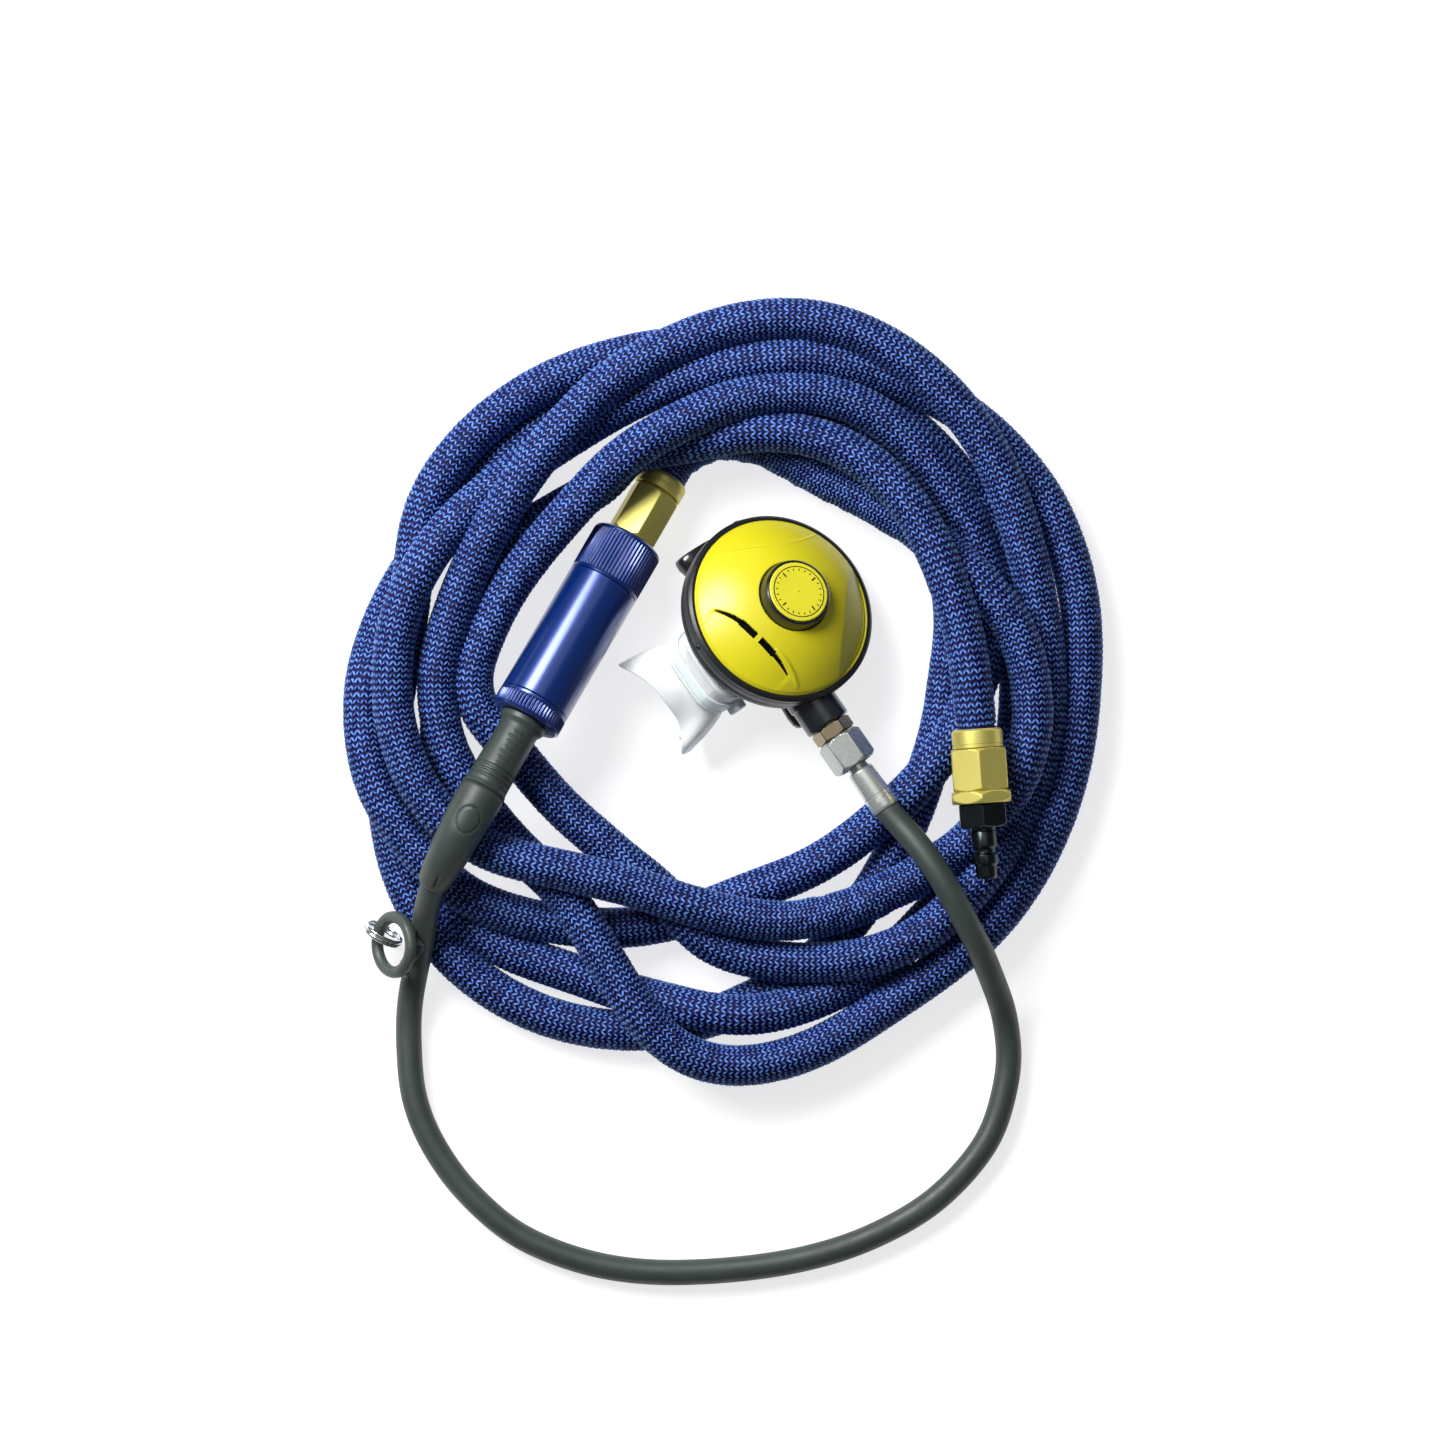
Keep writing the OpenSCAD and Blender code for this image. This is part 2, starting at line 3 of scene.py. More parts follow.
import bpy
import numpy as np
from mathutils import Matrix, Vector


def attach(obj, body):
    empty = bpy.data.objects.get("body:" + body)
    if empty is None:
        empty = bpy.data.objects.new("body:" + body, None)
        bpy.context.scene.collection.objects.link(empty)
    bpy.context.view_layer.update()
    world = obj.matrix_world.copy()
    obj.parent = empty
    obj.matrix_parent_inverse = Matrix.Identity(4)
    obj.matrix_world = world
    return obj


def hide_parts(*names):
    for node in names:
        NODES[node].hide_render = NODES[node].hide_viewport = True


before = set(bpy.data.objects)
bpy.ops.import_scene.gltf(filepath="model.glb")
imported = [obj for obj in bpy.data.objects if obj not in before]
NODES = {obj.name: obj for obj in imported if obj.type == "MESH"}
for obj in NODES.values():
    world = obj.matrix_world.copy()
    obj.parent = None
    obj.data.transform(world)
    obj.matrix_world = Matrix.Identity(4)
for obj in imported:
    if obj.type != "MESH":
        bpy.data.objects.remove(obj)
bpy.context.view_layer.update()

# Everything below is built in millimetres in the part's own frame and stored in metres.
SCENE = bpy.context.scene
RNG = np.random.default_rng(7)

# ---------------------------------------------------------------- frames
BASE = np.array([11.5, -21.6, 0.0])          # the coil's centre


def rx(a):
    c, s = math.cos(math.radians(a)), math.sin(math.radians(a))
    return np.array([[1, 0, 0], [0, c, -s], [0, s, c]])


def ry(a):
    c, s = math.cos(math.radians(a)), math.sin(math.radians(a))
    return np.array([[c, 0, s], [0, 1, 0], [-s, 0, c]])


def rz(a):
    c, s = math.cos(math.radians(a)), math.sin(math.radians(a))
    return np.array([[c, -s, 0], [s, c, 0], [0, 0, 1]])


R_STAGE = rz(42.2) @ ry(29) @ rz(-98.8)
R_HOUSE = rz(60) @ ry(104)
R_FAR = rz(-86) @ ry(89)
P_STAGE = BASE + [25.1, 35.8, 36]
P_HOUSE = BASE + [-83.5, -11.7, 42.5]
P_FAR = BASE + [107.2, -15.7, 43.5]


def stage(p):
    return P_STAGE + np.asarray(p, float) @ R_STAGE.T


def inlet(p):
    p = np.asarray(p, float)
    return stage(np.stack([p[..., 2], p[..., 1] - 5.8, -14 - p[..., 0]], -1))


def mouth(p):
    return stage(np.array([2.8, -31.6, -29.8]) + np.asarray(p, float) @ rx(-25).T)


def house(p):
    return P_HOUSE + np.asarray(p, float) @ R_HOUSE.T


def far(p):
    return P_FAR + np.asarray(p, float) @ R_FAR.T


# ---------------------------------------------------------------- camera
cam_data = bpy.data.cameras.new("camera")
cam = bpy.data.objects.new("camera", cam_data)
SCENE.collection.objects.link(cam)
SCENE.camera = cam
HEIGHT = 5.0
cam_data.sensor_fit = "AUTO"
cam_data.sensor_width = 36.0
cam_data.lens = 36.0 * HEIGHT / 0.6122
cam_data.clip_start = 0.1
cam_data.clip_end = 60.0
cam_data.dof.use_dof = False
cam.location = (BASE[0] * 0.001, (BASE[1] - 12.92) * 0.001, HEIGHT + 0.022)
cam.rotation_euler = (0.0, 0.0, 0.0)


# ---------------------------------------------------------------- mesh helpers
def spline(points, step):
    """points every step along a natural cubic spline through points"""
    p = np.asarray(points, float)
    s = np.r_[0, np.cumsum(np.linalg.norm(np.diff(p, axis=0), axis=1))]
    n, h = len(p), np.diff(s)
    a, r = np.zeros((n, n)), np.zeros((n, 3))
    a[0, 0] = a[-1, -1] = 1
    for i in range(1, n - 1):
        a[i, i - 1:i + 2] = h[i - 1], 2 * (h[i - 1] + h[i]), h[i]
        r[i] = 6 * ((p[i + 1] - p[i]) / h[i] - (p[i] - p[i - 1]) / h[i - 1])
    m = np.linalg.solve(a, r)
    t = np.linspace(0, s[-1], max(2, int(s[-1] / step) + 1))
    k = np.clip(np.searchsorted(s, t, side="right") - 1, 0, n - 2)
    u, v, w = (s[k + 1] - t)[:, None], (t - s[k])[:, None], h[k][:, None]
    return m[k] * u ** 3 / (6 * w) + m[k + 1] * v ** 3 / (6 * w) + (p[k] / w - m[k] * w / 6) * u + (p[k + 1] / w - m[k + 1] * w / 6) * v


def arc(p):
    return np.r_[0, np.cumsum(np.linalg.norm(np.diff(p, axis=0), axis=1))]


def even(p, step):
    s = arc(p)
    t = np.linspace(0, s[-1], max(2, int(round(s[-1] / step)) + 1))
    return np.stack([np.interp(t, s, p[:, k]) for k in range(3)], 1)


def soften(p, sigma, step):
    """a gaussian along the line, with both ends held"""
    n = max(1, int(3 * sigma / step))
    g = np.exp(-0.5 * (np.arange(-n, n + 1) * step / sigma) ** 2)
    g /= g.sum()
    q = np.empty_like(p)
    for k in range(3):
        line = np.r_[2 * p[0, k] - p[n:0:-1, k], p[:, k], 2 * p[-1, k] - p[-2:-n - 2:-1, k]]
        q[:, k] = np.convolve(line, g, mode="valid")
    return q


def frames_of(p):
    t = np.gradient(p, axis=0)
    t /= np.linalg.norm(t, axis=1)[:, None]
    s = np.cross(t, [0, 0, 1.0])
    s /= np.linalg.norm(s, axis=1)[:, None]
    return t, s, np.cross(s, t)


def make(name, verts, faces, uvs=None, mats=(), sharp=None, index=None):
    me = bpy.data.meshes.new(name)
    verts = np.asarray(verts, float) * 0.001
    if isinstance(faces, np.ndarray):
        n, k = faces.shape
        me.vertices.add(len(verts))
        me.vertices.foreach_set("co", verts.astype(np.float32).ravel())
        me.loops.add(n * k)
        me.loops.foreach_set("vertex_index", faces.astype(np.int32).ravel())
        me.polygons.add(n)
        me.polygons.foreach_set("loop_start", np.arange(0, n * k, k, dtype=np.int32))
        me.update(calc_edges=True)
    else:
        me.from_pydata(verts.tolist(), [], faces)
    if uvs is not None:
        me.uv_layers.new(name="UVMap").data.foreach_set("uv", np.asarray(uvs, np.float32).ravel())
    for m in mats:
        me.materials.append(m)
    if index is not None:
        me.polygons.foreach_set("material_index", np.asarray(index, np.int32))
    me.shade_smooth()
    if sharp:
        me.set_sharp_from_angle(angle=math.radians(sharp))
    me.validate()
    me.update()
    o = bpy.data.objects.new(name, me)
    SCENE.collection.objects.link(o)
    return o


def skin(name, rings, mats, u=1.0, v=None, sharp=None, ends="cap", index=None):
    """A surface through rings (m, n, 3). ends: cap, open, or loop, where the last ring joins the first."""
    m, n, _ = rings.shape
    i = np.arange(m if ends == "loop" else m - 1)
    k = np.arange(n)
    i0, k0 = np.meshgrid(i, k, indexing="ij")
    i1, k1 = (i0 + 1) % m, (k0 + 1) % n
    quads = np.stack([i0 * n + k0, i0 * n + k1, i1 * n + k1, i1 * n + k0], -1).reshape(-1, 4)
    if v is None:
        d = np.linalg.norm(np.diff(rings[:, 0], axis=0), axis=1)
        v = np.r_[0, np.cumsum(d)]
    v = np.r_[v, v[-1] + (v[-1] - v[-2])]
    uu0, uu1 = k0 / n * u, (k0 + 1) / n * u
    vv0, vv1 = v[i0], v[i0 + 1]
    uv = np.stack([np.stack([uu0, vv0], -1), np.stack([uu1, vv0], -1), np.stack([uu1, vv1], -1), np.stack([uu0, vv1], -1)], 2).reshape(-1, 2)
    verts = rings.reshape(-1, 3)
    if ends != "cap":
        return make(name, verts, quads, uv, mats, sharp, index)
    # fans close both ends
    verts = np.vstack([verts, rings[0].mean(0), rings[-1].mean(0)])
    a = len(verts) - 2
    fan0 = [(a, int((j + 1) % n), int(j)) for j in range(n)]
    fan1 = [(a + 1, (m - 1) * n + j, (m - 1) * n + (j + 1) % n) for j in range(n)]
    faces = [tuple(q) for q in quads.tolist()] + fan0 + fan1
    caps = [[(j + 0.5) / n * u, v[0]] for j in range(n) for _ in range(3)] + [[(j + 0.5) / n * u, v[m - 1]] for j in range(n) for _ in range(3)]
    return make(name, verts, faces, np.vstack([uv, caps]), mats, sharp, None if index is None else list(index) + [0] * (2 * n))


def fillet(prof, steps=5):
    """A profile of (z, r) or (z, r, corner radius), with its corners rounded."""
    out = []
    for j, q in enumerate(prof):
        c = q[2] if len(q) > 2 else 0.0
        p = np.array(q[:2], float)
        if not c or j == 0 or j == len(prof) - 1:
            out.append(p)
            continue
        a, b = np.array(prof[j - 1][:2], float) - p, np.array(prof[j + 1][:2], float) - p
        la, lb = np.linalg.norm(a), np.linalg.norm(b)
        a, b = a / la, b / lb
        half = math.acos(max(-1, min(1, float(a @ b)))) / 2
        if half > math.radians(88) or half < math.radians(2):
            out.append(p)
            continue
        d = min(c / math.tan(half), 0.48 * la, 0.48 * lb)
        r = d * math.tan(half)
        centre = p + (a + b) / np.linalg.norm(a + b) * r / math.sin(half)
        s, e = p + a * d - centre, p + b * d - centre
        for f in np.linspace(0, 1, steps + 1):
            w = s * (1 - f) + e * f
            out.append(centre + w / np.linalg.norm(w) * r)
    return np.array(out)


def lathe(name, prof, mats, place, n=96, shape=None, sharp=32, closed=True, index=None):
    """Turned about z. closed: the profile is a loop, so the piece is hollow. shape(theta, z, r) changes the radius."""
    q = fillet(list(prof) + ([prof[0]] if closed else []))
    if closed:
        q = q[:-1]
    th = np.arange(n) * 2 * math.pi / n
    z, r = q[:, 0][:, None] + 0 * th, q[:, 1][:, None] + 0 * th
    if shape is not None:
        r = shape(th[None, :] + 0 * z, z, r)
    rings = np.stack([r * np.cos(th), r * np.sin(th), z], -1)
    v = np.r_[0, np.cumsum(np.linalg.norm(np.diff(q, axis=0), axis=1))]
    o = skin(name, place(rings), mats, u=float(2 * math.pi * q[:, 1].max()), v=v, sharp=sharp, ends="loop" if closed else "cap")
    fix_normals(o)
    return o


def fix_normals(o):
    import bmesh
    bm = bmesh.new()
    bm.from_mesh(o.data)
    bmesh.ops.recalc_face_normals(bm, faces=bm.faces)
    bm.to_mesh(o.data)
    bm.free()


def hexed(af, turn=0.0, corner=0.35):
    """limits a radius to a hexagon with slightly rounded corners"""
    def f(th, z, r):
        t = (np.degrees(th) - turn + 30) % 60 - 30
        flat = af / 2 / np.cos(np.radians(t))
        flat = np.minimum(flat, af / math.sqrt(3) - corner)
        return np.where(r > af / 2 - 0.45, np.minimum(r, flat), r)
    return f


def sm(a, b, x):
    t = np.clip((x - a) / (b - a), 0, 1)
    return t * t * (3 - 2 * t)


def noise_field(x, y, seed, cells=64):
    """smooth value noise of two coordinates, in about -1..1"""
    g = np.random.default_rng(seed).uniform(-1, 1, (cells, cells))
    xi, yi = np.floor(x).astype(int), np.floor(y).astype(int)
    fx, fy = x - xi, y - yi
    fx, fy = fx * fx * (3 - 2 * fx), fy * fy * (3 - 2 * fy)
    a = g[xi % cells, yi % cells] * (1 - fx) + g[(xi + 1) % cells, yi % cells] * fx
    b = g[xi % cells, (yi + 1) % cells] * (1 - fx) + g[(xi + 1) % cells, (yi + 1) % cells] * fx
    return a * (1 - fy) + b * fy


# ---------------------------------------------------------------- materials
def srgb(r, g, b):
    def f(c):
        c /= 255.0
        return c / 12.92 if c <= 0.04045 else ((c + 0.055) / 1.055) ** 2.4
    return (f(r), f(g), f(b))


class Mat:
    """A Principled material with its nodes laid down by short calls."""

    def __init__(self, name, base, rough=0.4, metal=0.0, **sockets):
        self.m = bpy.data.materials.new(name)
        self.m.use_nodes = True
        self.nt = self.m.node_tree
        self.b = self.nt.nodes["Principled BSDF"]
        self.base = base
        self.set("Base Color", (*base, 1.0))
        self.set("Roughness", rough)
        self.set("Metallic", metal)
        for k, v in sockets.items():
            self.set(k.replace("_", " "), v)
        self.tc = self.node("ShaderNodeTexCoord")

    def set(self, k, v):
        self.b.inputs[k].default_value = v

    def node(self, kind, **kw):
        n = self.nt.nodes.new(kind)
        for k, v in kw.items():
            setattr(n, k, v)
        return n

    def link(self, a, b):
        self.nt.links.new(a, b)

    def math(self, op, a, b=None, c=None):
        n = self.node("ShaderNodeMath", operation=op)
        for i, x in enumerate((a, b, c)):
            if x is None:
                continue
            if isinstance(x, (int, float)):
                n.inputs[i].default_value = x
            else:
                self.link(x, n.inputs[i])
        return n.outputs[0]

    def scaled(self, sx, sy, sz, coords="Object"):
        n = self.node("ShaderNodeMapping")
        n.inputs["Scale"].default_value = (sx, sy, sz)
        self.link(self.tc.outputs[coords], n.inputs["Vector"])
        return n.outputs[0]

    def noise(self, scale, detail=3.0, rough=0.55, vec=None, dist=0.0):
        n = self.node("ShaderNodeTexNoise")
        n.inputs["Scale"].default_value = scale
        n.inputs["Detail"].default_value = detail
        n.inputs["Roughness"].default_value = rough
        n.inputs["Distortion"].default_value = dist
        self.link(vec if vec is not None else self.tc.outputs["Object"], n.inputs["Vector"])
        return n.outputs[0]

    def range(self, x, a, b, c, d):
        n = self.node("ShaderNodeMapRange")
        for i, v in enumerate((a, b, c, d)):
            n.inputs[i + 1].default_value = v
        self.link(x, n.inputs[0])
        return n.outputs[0]

    def ramp(self, x, stops):
        n = self.node("ShaderNodeValToRGB")
        e = n.color_ramp.elements
        while len(e) < len(stops):
            e.new(0.5)
        for i, (at, col) in enumerate(stops):
            e[i].position = at
            e[i].color = (*col, 1.0)
        self.link(x, n.inputs[0])
        return n.outputs[0]

    def mix(self, f, a, b, how="MIX"):
        n = self.node("ShaderNodeMix", data_type="RGBA", blend_type=how)
        for i, x in ((0, f), (6, a), (7, b)):
            if isinstance(x, (int, float)):
                n.inputs[i].default_value = x
            elif isinstance(x, tuple):
                n.inputs[i].default_value = (*x, 1.0)
            else:
                self.link(x, n.inputs[i])
        return n.outputs[2]

    def bump(self, h, strength, distance, normal=None):
        n = self.node("ShaderNodeBump")
        n.inputs["Strength"].default_value = strength
        n.inputs["Distance"].default_value = distance
        self.link(h, n.inputs["Height"])
        if normal is not None:
            self.link(normal, n.inputs["Normal"])
        self.link(n.outputs[0], self.b.inputs["Normal"])
        return n.outputs[0]

    def colour(self, x):
        self.link(x, self.b.inputs["Base Color"])

    def rough(self, x):
        self.link(x, self.b.inputs["Roughness"])


def tint(c, k):
    return tuple(min(1.0, x * k) for x in c)


def plain(name, base, rough=0.4, metal=0.0, spots=90.0, grain=1500.0, vary=0.12, dr=0.08, bump=0.25, dist=0.00004, **kw):
    """colour and roughness that drift a little, and a fine grain"""
    m = Mat(name, base, rough, metal, **kw)
    n = m.noise(spots, 4.0, 0.6)
    m.colour(m.ramp(n, [(0.3, tint(base, 1 - vary)), (0.7, tint(base, 1 + vary))]))
    m.rough(m.range(m.noise(spots * 2.3, 5.0, 0.65), 0.3, 0.7, max(0.02, rough - dr), rough + dr))
    m.bump(m.noise(grain, 2.0), bump, dist)
    return m


def turned(name, base, rough, spots=60.0, lines=(0.0, 5.0), vary=0.08, dr=0.1, bump=0.15, **kw):
    """metal with fine tool lines; lines scales UV u and v (millimetres) for the streaks"""
    m = Mat(name, base, rough, 1.0, **kw)
    v = m.scaled(lines[0], lines[1], 1.0, "UV")
    s = m.noise(1.0, 6.0, 0.7, vec=v)
    d = m.noise(spots, 4.0, 0.6)
    m.colour(m.mix(m.range(s, 0.3, 0.7, 0.0, 1.0), tint(base, 1 - vary), tint(base, 1 + vary * 0.5)))
    m.rough(m.math("ADD", m.range(s, 0.3, 0.7, max(0.03, rough - dr * 0.5), rough + dr * 0.5), m.range(d, 0.3, 0.7, -dr * 0.3, dr * 0.3)))
    m.bump(s, bump, 0.00003)
    return m


# the knit cover: u counts zigzags round the hose, v counts rows along it
knit = Mat("blue_knit", srgb(20, 50, 170), 0.6, 0.0, Sheen_Weight=0.1, Sheen_Roughness=0.35)
knit.set("Sheen Tint", (0.45, 0.6, 1.0, 1.0))
knit.set("Specular IOR Level", 0.28)
_uv = knit.node("ShaderNodeSeparateXYZ")
knit.link(knit.tc.outputs["UV"], _uv.inputs[0])
_u, _v = _uv.outputs[0], _uv.outputs[1]
_row = knit.math("COSINE", knit.math("MULTIPLY", _v, 2 * math.pi))           # 1 on a ridge, -1 in a gap
_cell = knit.node("ShaderNodeTexWhiteNoise", noise_dimensions="2D")
_cv = knit.node("ShaderNodeCombineXYZ")
knit.link(knit.math("FLOOR", knit.math("MULTIPLY", _u, 2.0)), _cv.inputs[0])
knit.link(knit.math("FLOOR", knit.math("ADD", _v, 0.5)), _cv.inputs[1])
knit.link(_cv.outputs[0], _cell.inputs["Vector"])
_side = knit.math("COSINE", knit.math("MULTIPLY", _u, 4 * math.pi))          # falls where a stitch dives under its neighbour
_fil = knit.noise(1.0, 4.0, 0.7, vec=knit.scaled(3.0, 26.0, 1.0, "UV"))
_h = knit.math("ADD", knit.math("MULTIPLY", _row, 0.5), knit.math("ADD", knit.math("MULTIPLY", _side, -0.16), knit.math("MULTIPLY", _fil, 0.35)))
# colour: row crests painted light, up to a painted highlight at the ramp's top; gaps get painted shade, and so do the
# places where a stitch dives under its neighbour; each stitch also gets a random tone
_painted_light_and_tone = knit.math("ADD", knit.range(_row, -0.55, 0.95, 0.0, 0.72), knit.math("ADD", knit.math("MULTIPLY", _cell.outputs[0], 0.34), knit.math("MULTIPLY", _side, -0.2)))
knit.colour(knit.ramp(_painted_light_and_tone, [(0.0, srgb(2, 3, 26)), (0.35, srgb(6, 11, 74)), (0.67, srgb(14, 36, 130)), (1.0, srgb(104, 150, 222))]))
knit.rough(knit.range(_fil, 0.3, 0.7, 0.5, 0.74))
knit.bump(_h, 0.75, 0.0005)

hose_rubber = plain("hose_rubber", srgb(52, 62, 58), 0.5, spots=35, grain=900, vary=0.16, dr=0.1, bump=0.22, dist=0.00005)
hose_rubber.set("Specular IOR Level", 0.55)
boot_rubber = plain("boot_rubber", srgb(50, 60, 56), 0.46, spots=60, grain=1600, vary=0.12, dr=0.08, bump=0.35, dist=0.00006)
keeper_rubber = plain("keeper_rubber", srgb(58, 68, 62), 0.45, spots=90, grain=1400, vary=0.15, dr=0.08, bump=0.3, dist=0.00006)
yellow = plain("yellow_plastic", srgb(214, 204, 26), 0.36, spots=30, grain=1900, vary=0.035, dr=0.05, bump=0.12, dist=0.00003, Coat_Weight=0.2, Coat_Roughness=0.36)
yellow.set("Subsurface Weight", 0.06)
yellow.set("Subsurface Radius", (1.0, 0.75, 0.1))
yellow.set("Subsurface Scale", 0.0015)
label = plain("label_yellow", srgb(222, 214, 44), 0.46, spots=70, grain=1700, vary=0.05, dr=0.06, bump=0.15, dist=0.00003)
ink = plain("label_ink", srgb(40, 46, 20), 0.5, spots=70, grain=1700, vary=0.1, dr=0.06)
black_gloss = plain("black_gloss", srgb(24, 27, 30), 0.26, spots=50, grain=1400, vary=0.2, dr=0.06, bump=0.1, dist=0.00003, Coat_Weight=0.5, Coat_Roughness=0.16)
black_satin = plain("black_satin", srgb(20, 23, 26), 0.38, spots=50, grain=1400, vary=0.2, dr=0.06, bump=0.12, dist=0.00003, Coat_Weight=0.15, Coat_Roughness=0.3)
# near-black painted shade, put on the floors of the cover's slots and groove
painted_slot_shade = plain("painted_slot_shade", srgb(7, 8, 8), 0.9, spots=90, grain=1400, vary=0.3)
painted_slot_shade.set("Specular IOR Level", 0.05)
black_case = plain("black_case", srgb(26, 29, 31), 0.34, spots=45, grain=1200, vary=0.2, dr=0.08, bump=0.2, dist=0.00004, Coat_Weight=0.25, Coat_Roughness=0.25)
anod = turned("blue_anodised", srgb(0, 46, 124), 0.3, lines=(0.35, 9.0), vary=0.12, dr=0.06, bump=0.03, Coat_Weight=1.0, Coat_Roughness=0.2)
anod.set("Metallic", 0.5)

brass = turned("brass", srgb(218, 206, 112), 0.44, lines=(0.3, 7.0), vary=0.06, dr=0.06, bump=0.06)
brass.set("Metallic", 0.72)
nickel = turned("nickel", srgb(208, 212, 208), 0.26, lines=(0.3, 8.0), vary=0.06, dr=0.1, bump=0.12)
tan_metal = turned("tan_metal", srgb(156, 144, 120), 0.27, lines=(0.3, 8.0), vary=0.08, dr=0.1, bump=0.14)
brushed = turned("brushed_nickel", srgb(186, 192, 188), 0.27, lines=(9.0, 0.35), vary=0.26, dr=0.14, bump=0.3)
chrome = turned("chrome", srgb(226, 230, 232), 0.18, lines=(0.3, 3.0), vary=0.05, dr=0.05, bump=0.05)
dark_steel = turned("dark_steel", srgb(58, 66, 68), 0.24, lines=(0.3, 8.0), vary=0.1, dr=0.1, bump=0.12)
nickel.set("Metallic", 0.72)
brushed.set("Metallic", 0.8)
steel = turned("spring_steel", srgb(190, 194, 196), 0.3, lines=(0.3, 4.0))
silicone = Mat("silicone_clear", srgb(244, 249, 250), 0.36, 0.0, Transmission_Weight=0.25, IOR=1.41)
silicone.set("Subsurface Weight", 0.4)
silicone.set("Subsurface Radius", (1.0, 1.0, 1.0))
silicone.set("Subsurface Scale", 0.006)
silicone.rough(silicone.range(silicone.noise(140.0, 4.0), 0.3, 0.7, 0.28, 0.46))
silicone.colour(silicone.ramp(silicone.noise(60.0, 3.0), [(0.3, srgb(240, 247, 249)), (0.7, srgb(250, 253, 253))]))
silicone.bump(silicone.noise(700.0, 3.0), 0.2, 0.00006)
nylon = plain("white_nylon", srgb(226, 234, 236), 0.36, spots=120, grain=1500, vary=0.04, dr=0.06, bump=0.2, dist=0.00004)
nylon.set("Subsurface Weight", 0.3)
nylon.set("Subsurface Scale", 0.003)
white_silicone = plain("silicone_white", srgb(232, 234, 230), 0.4, vary=0.04)
grey_plastic = plain("grey_plastic", srgb(120, 124, 126), 0.45)
diaphragm_rubber = plain("diaphragm_rubber", srgb(52, 58, 60), 0.5)
o_ring = plain("rubber_black", srgb(20, 20, 21), 0.45)
felt = plain("felt", srgb(214, 206, 184), 0.95, spots=400, grain=3000, vary=0.14, bump=0.9, dist=0.0002)
carbon = plain("carbon", srgb(34, 34, 36), 0.9, spots=700, grain=2500, vary=0.4, bump=0.9, dist=0.0002)


def ride(o, body, slot, *nodes):
    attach(o, body)
    if nodes:
        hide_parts(*nodes)
    return o


